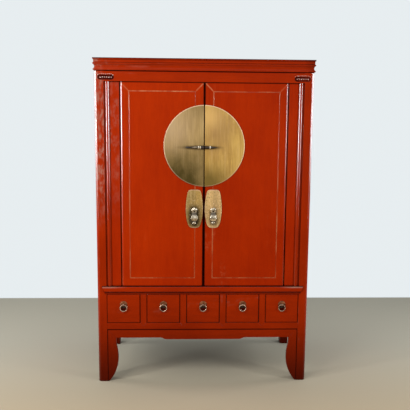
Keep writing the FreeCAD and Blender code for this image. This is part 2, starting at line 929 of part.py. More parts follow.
def outer_stile():
    """The hinge stile: a half-round outer edge, and a pin at each end."""
    stile = new_body("outer_stile")
    section = [
        ("-hinge_x", "front"),
        Arc(("-door_outer", "hinge_y"), ("-hinge_x", "front + door_thickness")),
        (f"-{frame_edge}", "front + door_thickness"),
        (f"-{frame_edge}", "front"),
    ]
    pad(stile, "XY", [section], "door_bottom", "door_top")
    wedges = [
        mitre_wedge("-door_outer", f"-{frame_edge}", "door_top", "-"),
        mitre_wedge("-door_outer", f"-{frame_edge}", "door_bottom", "+"),
    ]
    pocket(stile, "XZ", wedges, *face_layer)
    pin = [Circle(("-hinge_x", "hinge_y"), "pin_radius")]
    pad(stile, "XY", pin, "door_top", "door_top + pin_length")
    pad(stile, "XY", pin, "door_bottom - pin_length", "door_bottom")
    return stile


def inner_stile():
    stile = new_body("inner_stile")
    face = rectangle((f"-{frame_inner_edge}", "-door_inner"), ("door_bottom", "door_top"))
    pad(stile, "XZ", [face], *door_depth)
    wedges = [
        mitre_wedge("-door_inner", f"-{frame_inner_edge}", "door_top", "-"),
        mitre_wedge("-door_inner", f"-{frame_inner_edge}", "door_bottom", "+"),
    ]
    pocket(stile, "XZ", wedges, *face_layer)
    slots = [slot(f"-{spot}", "bolt_height", "lock_eye_width") for spot in LOCK_EYES]
    pocket(stile, "XZ", slots, "front", "front + lock_leg_depth")
    return stile


def door_rail(level, away):
    """A top or bottom rail. Its face runs to the corners, and its back fits between the stiles."""
    rail = new_body("door_rail")
    inward = f"{level} {away} door_frame_width"
    mitred = [
        ("-door_outer", level),
        ("-door_inner", level),
        (f"-{frame_inner_edge}", inward),
        (f"-{frame_edge}", inward),
    ]
    pad(rail, "XZ", [mitred], *face_layer)
    tongue = [
        (f"-{frame_edge}", level),
        (f"-{frame_inner_edge}", level),
        (f"-{frame_inner_edge}", inward),
        (f"-{frame_edge}", inward),
    ]
    pad(rail, "XZ", [tongue], *back_layer)
    corner_shy = "hinge_radius * (1 - sqrt(0.5))"
    beyond_round = [
        ("-door_outer", "front"),
        ("-hinge_x", "front"),
        Arc((f"-door_outer + {corner_shy}", f"front + {corner_shy}"), ("-door_outer", "hinge_y")),
    ]
    pocket(rail, "XY", [beyond_round], "door_bottom - overrun", "door_top + overrun")
    return rail


def door_batten(share):
    """A cross batten that keeps the panel flat, behind it and between the stiles."""
    middle = f"door_bottom + (door_top - door_bottom) * {share}"
    back = "front + door_panel_thickness"
    return board(
        "door_batten",
        (f"-{frame_edge}", f"-{frame_inner_edge}"),
        (back, f"{back} + batten_thickness"),
        (f"{middle} - batten_height / 2", f"{middle} + batten_height / 2"),
    )


def door_panel():
    panel = new_body("door_panel")
    low, high = "door_bottom + door_frame_width", "door_top - door_frame_width"
    left, right = f"-{frame_edge}", f"-{frame_inner_edge}"
    pad(panel, "XZ", [rectangle((left, right), (low, high))], "front", "front + door_panel_thickness")
    edges = [
        (left, "front", "moon_height"),
        (right, "front", "moon_height"),
        ("-(door_inner + door_outer) / 2", "front", low),
        ("-(door_inner + door_outer) / 2", "front", high),
    ]
    soften(panel, "Chamfer", "edge_break", edges)
    hole = slot("-pull_offset", "pull_height")
    pocket(panel, "XZ", [hole], "front", "front + door_panel_thickness")
    return panel


door_frame = group("door_frame", [
    outer_stile(),
    inner_stile(),
    door_rail("door_top", "-"),
    door_rail("door_bottom", "+"),
    *(door_batten(share) for share in BATTEN_PLACE_SHARES),
])
keep_pair("door_frame", door_frame)
keep_pair("door_panel", door_panel())


# Metal plates on the doors

plate_depth = ("front - plate_thickness", "front")


def moon_plate(side, eyes):
    """Half of the round plate. Its straight edge stands back a little from the gap."""
    plate = new_body("moon_plate")
    chord = "moon_gap / 2"
    rise = f"sqrt(moon_radius ^ 2 - ({chord}) ^ 2)"
    outline = [
        (f"{side}({chord})", f"moon_height - {rise}"),
        Arc((f"{side}moon_radius", "moon_height"), (f"{side}({chord})", f"moon_height + {rise}")),
    ]
    slots = [slot(f"{side}{spot}", "bolt_height", "lock_eye_width") for spot in eyes]
    pad(plate, "XZ", [outline, *slots], *plate_depth)
    return plate


def pull_plate():
    """A barrel outline: bowed sides, a flatter top and a rounder foot."""
    plate = new_body("pull_plate")
    middle, height = "-pull_offset", "pull_height"
    top, foot = f"{height} + pull_plate_height / 2", f"{height} - pull_plate_height / 2"
    end, side = "pull_plate_end_width / 2", "pull_plate_width / 2"
    high_corner, low_corner = f"{top} - pull_plate_top_bow", f"{foot} + pull_plate_bottom_bow"
    start = (f"{middle} - {end}", low_corner)
    outline = [
        start,
        Arc((middle, foot), (f"{middle} + {end}", low_corner)),
        Arc((f"{middle} + {side}", height), (f"{middle} + {end}", high_corner)),
        Arc((middle, top), (f"{middle} - {end}", high_corner)),
        Arc((f"{middle} - {side}", height), start),
    ]
    pad(plate, "XZ", [outline], *plate_depth)
    for size, level in (("pull_plate_top_corner", high_corner), ("pull_plate_bottom_corner", low_corner)):
        corners = [(f"{middle} {way} {end}", "front - plate_thickness / 2", level) for way in "+-"]
        soften(plate, "Fillet", size, corners)
    pocket(plate, "XZ", [slot(middle, height)], *plate_depth)
    return plate


# Staples, drawn about the middle of their opening, with the legs running back

def staple(name, inner, outer, seat, reach, tail="0", width="staple_width"):
    """A strip bent round an opening. The seat is how far the plate's face lies behind it."""
    strip = new_body(name)
    leg, half_tail = "staple_leg_height / 2", "tail_length / 2"
    end = f"{seat} + {reach}"
    upper = [("0", outer), (seat, outer)]
    if reach != "0":
        upper += [(seat, leg), (end, leg)]
    if tail != "0":
        upper += [(end, half_tail), (f"{end} + {tail}", half_tail)]
    lower = [(deep, f"-({height})") for deep, height in reversed(upper)]
    back = [*lower, Arc((f"-({outer})", "0"), upper[0])]
    opening = [
        ("0", inner),
        (inner, inner),
        (inner, f"-({inner})"),
        ("0", f"-({inner})"),
        Arc((f"-({inner})", "0"), ("0", inner)),
    ]
    pad(strip, "YZ", [[*upper, *back], opening], f"-({width}) / 2", f"({width}) / 2")
    return strip


def drop_pull():
    """The drop, drawn about the bar of its head, which hangs and turns in the staple."""
    drop = new_body("drop_pull")

    def spot(way, shares):
        across, down = shares
        return (f"{way}drop_width / 2 * {across}", f"-drop_length * {down}")

    def crown(way):
        return (f"{way}drop_width / 2 * {DROP_CROWN_SHARE}", "drop_bar_height / 2")

    outline = [crown("")]
    outline += [Arc(spot("", middle), spot("", end)) for middle, end in DROP_ARC_SHARES]
    outline.append(spot("-", DROP_ARC_SHARES[-1][1]))
    starts = [spot("-", end) for _, end in DROP_ARC_SHARES[:-1]]
    for (middle, _), start in zip(reversed(DROP_ARC_SHARES), [*reversed(starts), crown("-")]):
        outline.append(Arc(spot("-", middle), start))
    hole = Circle(("0", "-drop_bar_height / 2 - drop_hole_radius"), "drop_hole_radius")
    pad(drop, "XZ", [outline, hole], "-drop_thickness / 2", "drop_thickness / 2")
    place(drop, ("-pull_offset", "pull_y", "pull_height"))
    return drop


pull_reach = "plate_thickness + door_panel_thickness"
pull_staple = staple("pull_staple", "loop_inner", "loop_outer", "loop_outer", pull_reach, "tail_thickness")
place(pull_staple, ("-pull_offset", "pull_y", "pull_height"))
keep_pair("pull_plate", group("pull_plate_and_staple", [pull_plate(), pull_staple]))
keep_pair("pull", drop_pull())


# Bolt across the doors: it slides in a barrel and two eyes, and into a keeper

def lock_eye(x, bore):
    reach = "plate_thickness + lock_leg_depth"
    eye = staple("lock_eye", bore, "lock_eye_outer", "lock_eye_outer", reach, width="lock_eye_width")
    place(eye, (x, "bolt_y", "bolt_height"))
    return eye


def lock_barrel():
    length = "barrel_far - barrel_near"
    barrel = staple("lock_barrel", "bolt_bore", "barrel_outer", "lock_eye_outer", "0", width=length)
    place(barrel, ("-(barrel_near + barrel_far) / 2", "bolt_y", "bolt_height"))
    return barrel


def forged_point(body, base, tip):
    """A square bar that four flats bring down to a point, along X."""
    low, high = (tip, base) if tip.startswith("-") else (base, tip)
    wide, narrow = "point_half_width", "point_tip_half_width"
    pad(body, "YZ", [rectangle((f"-{wide}", wide), (f"-{wide}", wide))], low, high)
    flats = [
        [(base, f"{way}{wide}"), (tip, f"{way}{narrow}"), (tip, f"{way}{wide}")]
        for way in ("", "-")
    ]
    pocket(body, "XZ", flats, "-overrun", "overrun")
    pocket(body, "XY", flats, "-overrun", "overrun")


def lock_bolt():
    bolt = new_body("lock_bolt")
    forged_point(bolt, "-bolt_length", "-bolt_length - bolt_point_length")
    pad(bolt, "YZ", [Circle(("0", "0"), "bolt_radius")], "-bolt_length", "0")
    place(bolt, ("0", "bolt_y", "bolt_height"))
    return bolt


def lock_keeper():
    """A socket for the bolt's nose, held by the eye on the right door, with a long point."""
    keeper = new_body("lock_keeper")
    centre = ("0", "0")
    end = "keeper_mouth + keeper_length"
    forged_point(keeper, end, f"{end} + keeper_point_length")
    pad(keeper, "YZ", [Circle(centre, "keeper_radius")], "keeper_mouth", end)
    bottom = "keeper_mouth + keeper_bore_length"
    pocket(keeper, "YZ", [Circle(centre, "bolt_bore")], "keeper_mouth", bottom)
    place(keeper, ("0", "bolt_y", "bolt_height"))
    return keeper


left_lock = [lock_barrel(), *(lock_eye(f"-{spot}", "bolt_bore") for spot in LOCK_EYES)]
right_lock = lock_eye("lock_eye_second", "keeper_radius + keeper_fit")
keep("left_moon_plate", group("left_moon_plate_and_staples", [moon_plate("-", LOCK_EYES), *left_lock]))
keep("right_moon_plate", group("right_moon_plate_and_eye", [moon_plate("", LOCK_EYES[1:]), right_lock]))
keep("lock_bolt", lock_bolt())
keep("lock_keeper", lock_keeper())


# Drawers, drawn about the middle of one and moved along the row

def drawer_front():
    front_board = new_body("drawer_front")
    low, high = "lower_rail_top + drawer_gap", "drawer_opening_top - drawer_gap"
    face = rectangle(("-drawer_half", "drawer_half"), (low, high))
    pad(front_board, "XZ", [face], "drawer_face", "drawer_inner_face")
    edges = [
        ("-drawer_half", "drawer_face", "ring_height"),
        ("drawer_half", "drawer_face", "ring_height"),
        ("0", "drawer_face", low),
        ("0", "drawer_face", high),
    ]
    soften(front_board, "Chamfer", "edge_break", edges)
    pocket(front_board, "XZ", [slot("0", "ring_height")], "drawer_face", "drawer_inner_face")
    return front_board


def drawer_box():
    """Two sides, a back and a bottom behind the front."""
    inner = "drawer_half - drawer_side_thickness"
    length = ("drawer_inner_face", "drawer_inner_face + drawer_length")
    floor = "drawer_foot + drawer_bottom_rise"
    side = board(
        "drawer_side",
        ("-drawer_half", f"-({inner})"),
        length,
        ("drawer_foot", "drawer_foot + drawer_side_height"),
    )
    back = board(
        "drawer_back",
        (f"-({inner})", inner),
        (f"{length[1]} - drawer_side_thickness", length[1]),
        (f"{floor} + drawer_bottom_thickness", "drawer_foot + drawer_side_height"),
    )
    bottom = board(
        "drawer_bottom",
        (f"-({inner})", inner),
        length,
        (floor, f"{floor} + drawer_bottom_thickness"),
    )
    return group("drawer_box", [side, mirrored(side, "drawer_side_twin"), back, bottom])


def rosette():
    plate = new_body("rosette")
    shapes = [flats(("0", "0"), "rosette_radius"), slot("0", "0")]
    pad(plate, "XZ", shapes, "-rosette_thickness", "0")
    place(plate, ("0", "drawer_face", "ring_height"))
    return plate


def ring():
    """The ring, drawn about its top, where it hangs in the staple."""
    hoop = new_body("ring")
    centre = ("0", "-ring_radius")
    rims = [flats(centre, f"ring_radius {way} ring_width / 2") for way in "+-"]
    pad(hoop, "XZ", rims, "-ring_thickness / 2", "ring_thickness / 2")
    place(hoop, ("0", "ring_y", "ring_height"))
    return hoop


drawer_reach = "rosette_thickness + drawer_front_thickness"
drawer_staple = staple(
    "drawer_staple", "eye_inner", "eye_outer", "eye_outer", drawer_reach, "tail_thickness"
)
place(drawer_staple, ("0", "ring_y", "ring_height"))
drawer_pieces = {
    "front": [drawer_front()],
    "box": [drawer_box()],
    "rosette": [rosette(), drawer_staple],
    "ring": [ring()],
}
for number in range(1, DRAWER_COUNT + 1):
    x = f"({number} - {(DRAWER_COUNT + 1) / 2}) * (drawer_opening_width + divider_width)"
    for name, pieces in drawer_pieces.items():
        label = f"drawer_{number}_{name}"
        copy = group(label, pieces)
        place(copy, (x, "0", "0"))
        keep(label, copy)


# Check every object, then write one file for each sub-part

doc.recompute()
failed = [item.Name for item in doc.Objects if {"Invalid", "Error"} & set(item.State)]
for piece in nodes:
    if piece.Shape.isNull() or not piece.Shape.isValid():
        failed.append(piece.Label)
if failed:
    raise RuntimeError(f"these did not build: {failed}")

os.makedirs("parts", exist_ok=True)
for piece in nodes:
    piece.Shape.exportStep(f"parts/{piece.Label}.step")
print(f"{len(nodes)} sub-parts, {sum(len(piece.Shape.Solids) for piece in nodes)} solids")
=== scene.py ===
# %% [markdown]
# # A red lacquer wedding cabinet
#
# The solids of the cabinet come in as a fixed frame, with every board, door and drawer at its real
# size. This lesson dresses them: softened edges and lacquer for the joinery, and new pieces, worked
# in finer detail, for the metalwork that catches the eye. All lengths are metres.

# %% Load the frame
import math

import bmesh
import bpy
from mathutils import Matrix, Vector


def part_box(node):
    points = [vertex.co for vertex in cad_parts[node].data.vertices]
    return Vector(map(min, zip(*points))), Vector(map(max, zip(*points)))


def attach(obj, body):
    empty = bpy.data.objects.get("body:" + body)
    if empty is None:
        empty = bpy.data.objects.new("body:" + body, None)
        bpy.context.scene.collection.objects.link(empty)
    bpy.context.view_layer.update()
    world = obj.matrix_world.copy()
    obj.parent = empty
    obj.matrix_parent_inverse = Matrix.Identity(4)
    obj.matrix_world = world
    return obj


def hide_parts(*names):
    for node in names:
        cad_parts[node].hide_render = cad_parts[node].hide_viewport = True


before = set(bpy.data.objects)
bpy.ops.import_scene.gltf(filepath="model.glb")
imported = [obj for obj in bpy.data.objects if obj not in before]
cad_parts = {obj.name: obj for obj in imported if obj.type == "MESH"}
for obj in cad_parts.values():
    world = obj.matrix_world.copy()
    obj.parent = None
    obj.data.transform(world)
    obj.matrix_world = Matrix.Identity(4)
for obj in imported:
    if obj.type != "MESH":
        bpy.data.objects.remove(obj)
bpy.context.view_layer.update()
MM = 0.001


# %% [markdown]
# ## Writing materials as sums
#
# A finish is easier to read as arithmetic than as a web of nodes. A Value below stands for
# something that varies over a surface, and plain Python signs combine Values. Each sign adds one
# Math node, also where the number stands first, as in 1 - mask.

# %% Shader arithmetic
class Value:
    """A number, colour or vector that varies over a surface."""

    def __init__(self, finish, socket):
        self.finish = finish
        self.socket = socket

    def sum(self, operation, first, second):
        return self.finish.node("ShaderNodeMath", {"operation": operation}, {0: first, 1: second})

    def __add__(self, other):
        return self.sum("ADD", self, other)

    def __radd__(self, other):
        return self.sum("ADD", other, self)

    def __sub__(self, other):
        return self.sum("SUBTRACT", self, other)

    def __rsub__(self, other):
        return self.sum("SUBTRACT", other, self)

    def __mul__(self, other):
        return self.sum("MULTIPLY", self, other)

    def __rmul__(self, other):
        return self.sum("MULTIPLY", other, self)

    def size(self):
        return self.sum("ABSOLUTE", self, 0.0)

    def step(self, low, high):
        """0 below low, 1 above high, and a soft rise between them."""
        return self.finish.node(
            "ShaderNodeMapRange",
            {"interpolation_type": "SMOOTHSTEP"},
            {0: self, 1: low, 2: high, 3: 0.0, 4: 1.0},
        )


print("signs that work on a Value: + - *")


# %% [markdown]
# ## Nodes of every other kind
#
# One method makes any node: it sets the node's settings first, then fills its sockets with values or
# links. Both a material and the world are such webs of nodes, so they share it. The last method
# tells what is looked at directly from what only lights the room, which the wall needs later.

# %% A web of nodes
DIRECT_RAYS = "Camera", "Glossy", "Transmission"


class Web:
    """The nodes of a material or of the world."""

    def __init__(self, tree):
        self.tree = tree

    def feed(self, socket, value):
        if isinstance(value, Value):
            self.tree.links.new(value.socket, socket)
        else:
            socket.default_value = value

    def node(self, kind, settings, inputs, output=0):
        """Any node: its kind, its settings, what goes into its sockets, and which one comes out."""
        made = self.tree.nodes.new(kind)
        for name, setting in settings.items():
            setattr(made, name, setting)
        for name, value in inputs.items():
            self.feed(made.inputs[name], value)
        return Value(self, made.outputs[output])

    def seen_directly(self):
        """1 where the camera, a mirror or glass looks, 0 for the light that the room throws back."""
        rays = [self.node("ShaderNodeLightPath", {}, {}, f"Is {ray} Ray") for ray in DIRECT_RAYS]
        return (rays[0] + rays[1] + rays[2]).step(0.4, 0.6)


print(f"direct looks: {', '.join(DIRECT_RAYS)} rays")


# %% [markdown]
# ## A finish
#
# A Finish is one material. It has a noise that can be stretched along the grain, measures of where a spot
# lies, and masks for lines, hollows and rounded edges, where the finish ages differently and where shade is
# painted. All of them use the object's own coordinates, so the marks stay put when a door swings.

# %% Textures and masks
class Finish(Web):
    """One material, and the textures and masks that this cabinet needs."""

    def __init__(self, name):
        self.material = bpy.data.materials.new(name)
        self.material.use_nodes = True
        super().__init__(self.material.node_tree)
        self.shader = self.tree.nodes["Principled BSDF"]
        self.place = self.node("ShaderNodeTexCoord", {}, {}, "Object")

    def stretched(self, stretch):
        return self.node("ShaderNodeVectorMath", {"operation": "MULTIPLY"}, {0: self.place, 1: stretch})

    def noise(self, scale, detail=3.0, roughness=0.5, stretch=(1, 1, 1), twist=0.0):
        inputs = {
            "Vector": self.stretched(stretch),
            "Scale": scale,
            "Detail": detail,
            "Roughness": roughness,
            "Distortion": twist,
        }
        return self.node("ShaderNodeTexNoise", {}, inputs)

    def axis(self, letter):
        """How far a spot lies along X, Y or Z."""
        return self.node("ShaderNodeSeparateXYZ", {}, {0: self.place}, letter)

    def away(self, spot, squash=(1, 1, 1)):
        """How far a place is from a spot. Squash above 1 makes it count as further on that axis."""
        offset = self.node("ShaderNodeVectorMath", {"operation": "SUBTRACT"}, {0: self.place, 1: spot})
        offset = self.node("ShaderNodeVectorMath", {"operation": "MULTIPLY"}, {0: offset, 1: squash})
        return self.node("ShaderNodeVectorMath", {"operation": "LENGTH"}, {0: offset}, "Value")

    def line(self, letter, place, reach):
        """1 where a level on an axis is met, 0 further from it than the reach."""
        return 1 - (self.axis(letter) - place).size().step(reach * 0.3, reach)

    def square_to(self, letter):
        """1 on faces square to an axis, 0 on faces along it."""
        normal = self.node("ShaderNodeTexCoord", {}, {}, "Normal")
        return self.node("ShaderNodeSeparateXYZ", {}, {0: normal}, letter).size()

    def turned_away(self):
        """0 on faces square to an axis, rising over rounded edges and mouldings."""
        across, deep, up = (self.square_to(letter) for letter in "XYZ")
        largest = across.sum("MAXIMUM", across, deep)
        return 1 - largest.sum("MAXIMUM", largest, up)

    def mix(self, share, first, second):
        return self.node("ShaderNodeMix", {"data_type": "RGBA"}, {0: share, 6: first, 7: second}, 2)

    def hollows(self, reach):
        """1 deep in a groove or a corner, 0 on open faces."""
        settings = {"samples": 6, "only_local": False}
        return 1 - self.node("ShaderNodeAmbientOcclusion", settings, {"Distance": reach}, "AO")

    def bump(self, height, depth, strength=1.0):
        inputs = {"Height": height, "Distance": depth, "Strength": strength}
        return self.node("ShaderNodeBump", {}, inputs)

    def set(self, **sockets):
        """Set sockets of the shader. An underscore in a name stands for a space."""
        for name, value in sockets.items():
            self.feed(self.shader.inputs[name.replace("_", " ")], value)
        return self.material


print("a Finish can make", ", ".join(name for name in vars(Finish) if name[0] != "_"))


# %% [markdown]
# ## Lacquer
#
# Many thin red coats over wood. They sink into the grain a little, fade to orange where light falls, and
# scuff to a paler, duller red where hands and cloths have been. Grooves, corners and gaps are darkened with
# painted shade.
# The gloss is a clear coat that is strong only on rounded edges, where it catches the windows. A
# mask made from the surface's own direction finds those edges, so flat boards stay deep in colour.

# %% Lacquer
ALONG = {"x": (0.12, 1, 1), "y": (1, 0.12, 1), "z": (1, 1, 0.12)}
RUBBED_AND_HIGHLIT_RED = (0.36, 0.155, 0.108, 1)
WORN_AND_HIGHLIT_ORANGE = (0.66, 0.23, 0.095, 1)
SHADE_AND_DIRT_DARK = (0.020, 0.0010, 0.0005, 1)
FOOT_DARK = (0.034, 0.0022, 0.0006, 1)
FOOT_FADE = -0.08, 0.52
WINDOW_SHINE = 1.02, 1.40


def paint(colour, share=1.0):
    """A colour for a socket, or a share of it for a darker shade."""
    return (*(part * share for part in colour), 1)


def lacquer(
    name, deep, bright, grain="z", scuffs=0.35, wear=None, shade_and_dirt=None, rubbed=RUBBED_AND_HIGHLIT_RED, shine=1.0, haze=0.10
):
    """Red lacquer, paler where scuffed and where a highlight is painted, darker in painted shade. Shine is
    its edges' gloss, haze blurs the gloss.
    """
    finish = Finish(name)
    clouds = finish.noise(2.3, 4.0, 0.55)
    mottle = finish.noise(28.0, 3.0, 0.6, twist=0.6)
    streaks = finish.noise(38.0, 4.0, 0.6, ALONG[grain], 0.3)
    fibres = finish.noise(190.0, 2.0, 0.6, ALONG[grain])
    patches = finish.noise(9.0, 6.0, 0.72, ALONG[grain], 1.2)
    pale = patches.step(0.58, 0.74) * mottle.step(0.42, 0.6) * scuffs
    # Pale marks: scuffs, plus a part's own mask, which on the waist rail and the doors paints a highlight.
    if wear:
        pale = pale + wear(finish) * (0.25 + patches.step(0.40, 0.60) * 0.75)
    # Painted shade: darker deep in grooves and corners, from ambient occlusion, plus the painted shade that
    # a part's own mask adds.
    shade_and_grime = finish.hollows(14 * MM).step(0.20, 0.85) + finish.hollows(6 * MM).step(0.08, 0.55)
    if shade_and_dirt:
        shade_and_grime = shade_and_grime + shade_and_dirt(finish) * (0.75 + mottle * 0.5)
    tone = clouds.step(0.32, 0.68) * 0.60 + streaks.step(0.35, 0.65) * 0.25 + mottle * 0.25
    red = finish.mix(tone, paint(deep), paint(bright))
    red = finish.mix(fibres.step(0.35, 0.75) * 0.14, red, paint(deep, 0.55))
    red = finish.mix(pale, red, rubbed)
    red = finish.mix(shade_and_grime * 0.92, red, SHADE_AND_DIRT_DARK)
    # Darker towards the foot, and a little more so on the right.
    towards_foot = 1 - finish.axis("Z").step(*FOOT_FADE)
    red = finish.mix(towards_foot * (0.88 + finish.axis("X").step(0.30, 0.60) * 0.08), red, FOOT_DARK)
    edges = finish.turned_away().step(0.02, 0.12) * (0.12 + finish.axis("Z").step(*WINDOW_SHINE) * 0.88)
    facing = finish.node("ShaderNodeLayerWeight", {}, {"Blend": 0.5}, "Facing")
    gloss = 0.004 + facing.step(0.35, 1.0) * 0.14 + edges * shine
    return finish.set(
        Base_Color=red,
        Roughness=0.34 + clouds * 0.10 + pale * 0.2,
        Specular_IOR_Level=0.02,
        Coat_Weight=gloss * (1 - shade_and_grime * 0.8) * (1 - pale.step(0.0, 1.0) * 0.6),
        Coat_Roughness=haze,
        Coat_IOR=3.2,
        Normal=finish.bump(clouds * 0.5 + mottle * 0.05 + fibres * 0.03, 0.0012, 0.5),
    )


print(f"edges shine above {WINDOW_SHINE[0]:.2f} m, feet darken below {FOOT_FADE[1]:.2f} m")


# %% [markdown]
# ## Bare wood
#
# Inside and behind, the wood was never lacquered. It has gone brown and dusty. One recipe with three
# pairs of colours is enough: boards inside the cupboard, boards of the back, and drawer boxes.

# %% Bare wood
def plain_wood(name, deep, bright, grain):
    finish = Finish(name)
    growth = finish.noise(26.0, 5.0, 0.6, ALONG[grain], 0.8)
    fibres = finish.noise(240.0, 3.0, 0.6, ALONG[grain])
    dust = finish.noise(5.0, 4.0, 0.6)
    # Painted shade: darker deep in corners, from ambient occlusion.
    shade_and_grime = finish.hollows(20 * MM).step(0.3, 0.9)
    wood = finish.mix(growth.step(0.35, 0.66), paint(deep), paint(bright))
    wood = finish.mix(fibres.step(0.5, 0.8) * 0.4, wood, paint(deep, 0.5))
    wood = finish.mix(dust.step(0.45, 0.75) * 0.25, wood, (0.30, 0.24, 0.17, 1))
    wood = finish.mix(shade_and_grime * 0.6, wood, (0.02, 0.012, 0.006, 1))
    return finish.set(
        Base_Color=wood,
        Roughness=0.62 + fibres * 0.2,
        Specular_IOR_Level=0.3,
        Normal=finish.bump(growth * 0.4 + fibres * 0.6, 0.0006),
    )


inner_wood = plain_wood("inner_wood", (0.085, 0.045, 0.022), (0.19, 0.11, 0.058), "x")
back_wood = plain_wood("back_wood", (0.075, 0.040, 0.020), (0.16, 0.095, 0.050), "z")
box_wood = plain_wood("box_wood", (0.12, 0.068, 0.034), (0.24, 0.15, 0.080), "y")
print(f"{len(bpy.data.materials)} materials so far")


# %% [markdown]
# ## The doors
#
# Frame and panel lie flush, so only fine marks show the joinery: a pale line round the panel, partly worn
# and partly a painted highlight on its rounded edge, the mitres at the top, and painted shade in the gaps.
# The masks are worked out from the boxes of the door's own boards, so they stay in place whatever the size.
# The right door's red is painted darker than the left's, as painted shade.

# %% Door lacquer
# Painted light: the left door gets a lighter red and the right door a darker one, as light falls from the
# left.
LEFT_DOOR_LIT_REDS = (0.32, 0.0160, 0.0003), (0.43, 0.0265, 0.0004)
RIGHT_DOOR_SHADED_REDS = (0.295, 0.0140, 0.0003), (0.395, 0.0230, 0.0004)
PANEL_LINE = 3.5 * MM
MITRE_LINE = 7 * MM
HINGE_HIGHLIGHT = 4 * MM
GAP_SHADE = 5 * MM
MEETING_SHADE = 9 * MM


def inwards(finish, letter, low, high):
    """How far in from the nearer of two levels on an axis."""
    return (high - low) / 2 - (finish.axis(letter) - (low + high) / 2).size()


def rim(finish, low, high, reach):
    """1 along the outline of an upright oblong, 0 further from it than the reach."""
    across, up = inwards(finish, "X", low.x, high.x), inwards(finish, "Z", low.z, high.z)
    return 1 - across.sum("MINIMUM", across, up).size().step(reach * 0.4, reach)


def mitres(finish, low, high, reach, width):
    """1 along the slanted joints at the four corners of an upright oblong."""
    across, up = inwards(finish, "X", low.x, high.x), inwards(finish, "Z", low.z, high.z)
    slanted = 1 - (across - up).size().step(width * 0.3, width)
    return slanted * (1 - across.step(reach - width, reach))


def door_front(side):
    """The low and high corner of a door's front, without its pins, and the width of its frame."""
    frame_low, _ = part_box(f"{side}_door_frame")
    low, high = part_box(f"{side}_door_panel")
    width = low.x - frame_low.x
    margin = Vector((width, 0, width))
    return low - margin, high + margin, width


def door_wear_and_highlight(side):
    """Rubbed mitres, and pale lines round the panel and along the hinge edge that come and go: partly worn,
    partly a painted highlight where the rounded edges catch the light.
    """
    low, high, width = door_front(side)
    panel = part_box(f"{side}_door_panel")
    strength = 1.0 if side == "left" else 0.6
    hinge_edge, meeting = (low.x, high.x) if side == "left" else (high.x, low.x)

    def wear(finish):
        fading = finish.noise(5.5, 2.0).step(0.40, 0.58) * 0.8 + 0.2
        joints = mitres(finish, low, high, width, MITRE_LINE) * finish.axis("Z").step(1.2, 1.5)
        joints = joints * (0.30 + finish.line("X", meeting, 2 * width) * 0.5)
        # Painted highlight along the rounded hinge edge.
        edge = finish.line("X", hinge_edge, HINGE_HIGHLIGHT) * finish.noise(9.0, 3.0, 0.7).step(0.35, 0.60)
        return (joints + rim(finish, *panel, PANEL_LINE) * fading) * strength + edge * 0.8

    return wear


def door_gap_shade(side):
    """Painted shade of the gaps: dark edges round a door, more so where the two doors meet and near the
    foot.
    """
    low, high, _ = door_front(side)
    meeting = low.x if side == "right" else high.x

    def shade_and_dirt(finish):
        along_meeting = finish.line("X", meeting, MEETING_SHADE) * (1 - finish.axis("Z").step(0.7, 1.5) * 0.75)
        front = finish.square_to("Y").step(0.5, 0.9) * 0.8 + 0.2
        return (rim(finish, low, high, GAP_SHADE) * 0.8 + along_meeting) * front

    return shade_and_dirt


door_reds = {
    side: lacquer(
        f"{side}_door_lacquer", *reds, scuffs=0.15, wear=door_wear_and_highlight(side), shade_and_dirt=door_gap_shade(side),
        rubbed=WORN_AND_HIGHLIT_ORANGE, haze=0.2,
    )
    for side, reds in (("left", LEFT_DOOR_LIT_REDS), ("right", RIGHT_DOOR_SHADED_REDS))
}
print(f"door frames {door_front('left')[2] / MM:.1f} mm wide")


# %% [markdown]
# ## Posts, fillers and side panels
#
# The left front corner of the cabinet has been brushed against for years, from hip to head height,
# and is mottled with pale scuffs there. The top catches light from above, so its gloss is hazy.

# %% Lacquer of the upright parts
FRAME_REDS = (0.25, 0.0140, 0.0004), (0.38, 0.0230, 0.0005)
SHOULDER_HEIGHT = 1.35


def post_wear(finish):
    """The left front corner, rubbed around shoulder height."""
    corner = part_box("left_front_post")[0]
    near = 1 - finish.away((corner.x, corner.y, SHOULDER_HEIGHT), (1.6, 1, 1)).step(0.1, 0.55)
    return near * finish.noise(42.0, 5.0, 0.75, (1, 1, 0.5)).step(0.44, 0.66) * 1.2


def filler_wear(finish):
    return post_wear(finish) * 0.4


strip_red = lacquer("strip_lacquer", *FRAME_REDS, scuffs=0.2)
post_red = lacquer("post_lacquer", *FRAME_REDS, scuffs=0.5, wear=post_wear)
filler_red = lacquer("filler_lacquer", *RIGHT_DOOR_SHADED_REDS, scuffs=0.5, wear=filler_wear)
side_panel_red = lacquer("side_panel_lacquer", *FRAME_REDS, scuffs=0.2, haze=0.2)
side_red = lacquer("side_lacquer", *FRAME_REDS, "y")
top_red = lacquer("top_lacquer", *FRAME_REDS, "x", scuffs=0.5, shine=0.3, haze=0.45)
print(f"wear centred {SHOULDER_HEIGHT} m up the left post")


# %% [markdown]
# ## Rails, cornice and legs
#
# Each function below paints shade where one board meets the next and in the quirks of the mouldings, as the
# dark lines of one part, at levels measured from that part's own box. Two more add pale marks: scuffs on the
# cornice's left end, and a painted highlight on the waist rail.

# %% Lacquer of the rails, the cornice and the legs
FRIEZE_REDS = (0.27, 0.0145, 0.0005), (0.38, 0.0235, 0.0006)
WAIST_REDS = (0.26, 0.0145, 0.0005), (0.40, 0.0245, 0.0006)
COVE_DEPTH = 24 * MM


def bracket_shade(finish):
    """Painted shade: a dark line where each leg bracket meets its post and the apron's ends."""
    low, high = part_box("left_leg_bracket")
    posts = finish.line("X", low.x, 6 * MM) + finish.line("X", -low.x, 6 * MM)
    return posts + finish.line("Z", high.z, 6 * MM)


# Painted shadow under the lower rail, along the apron's top.
def apron_shadow(finish):
    return finish.line("Z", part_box("front_apron")[1].z, 7 * MM)


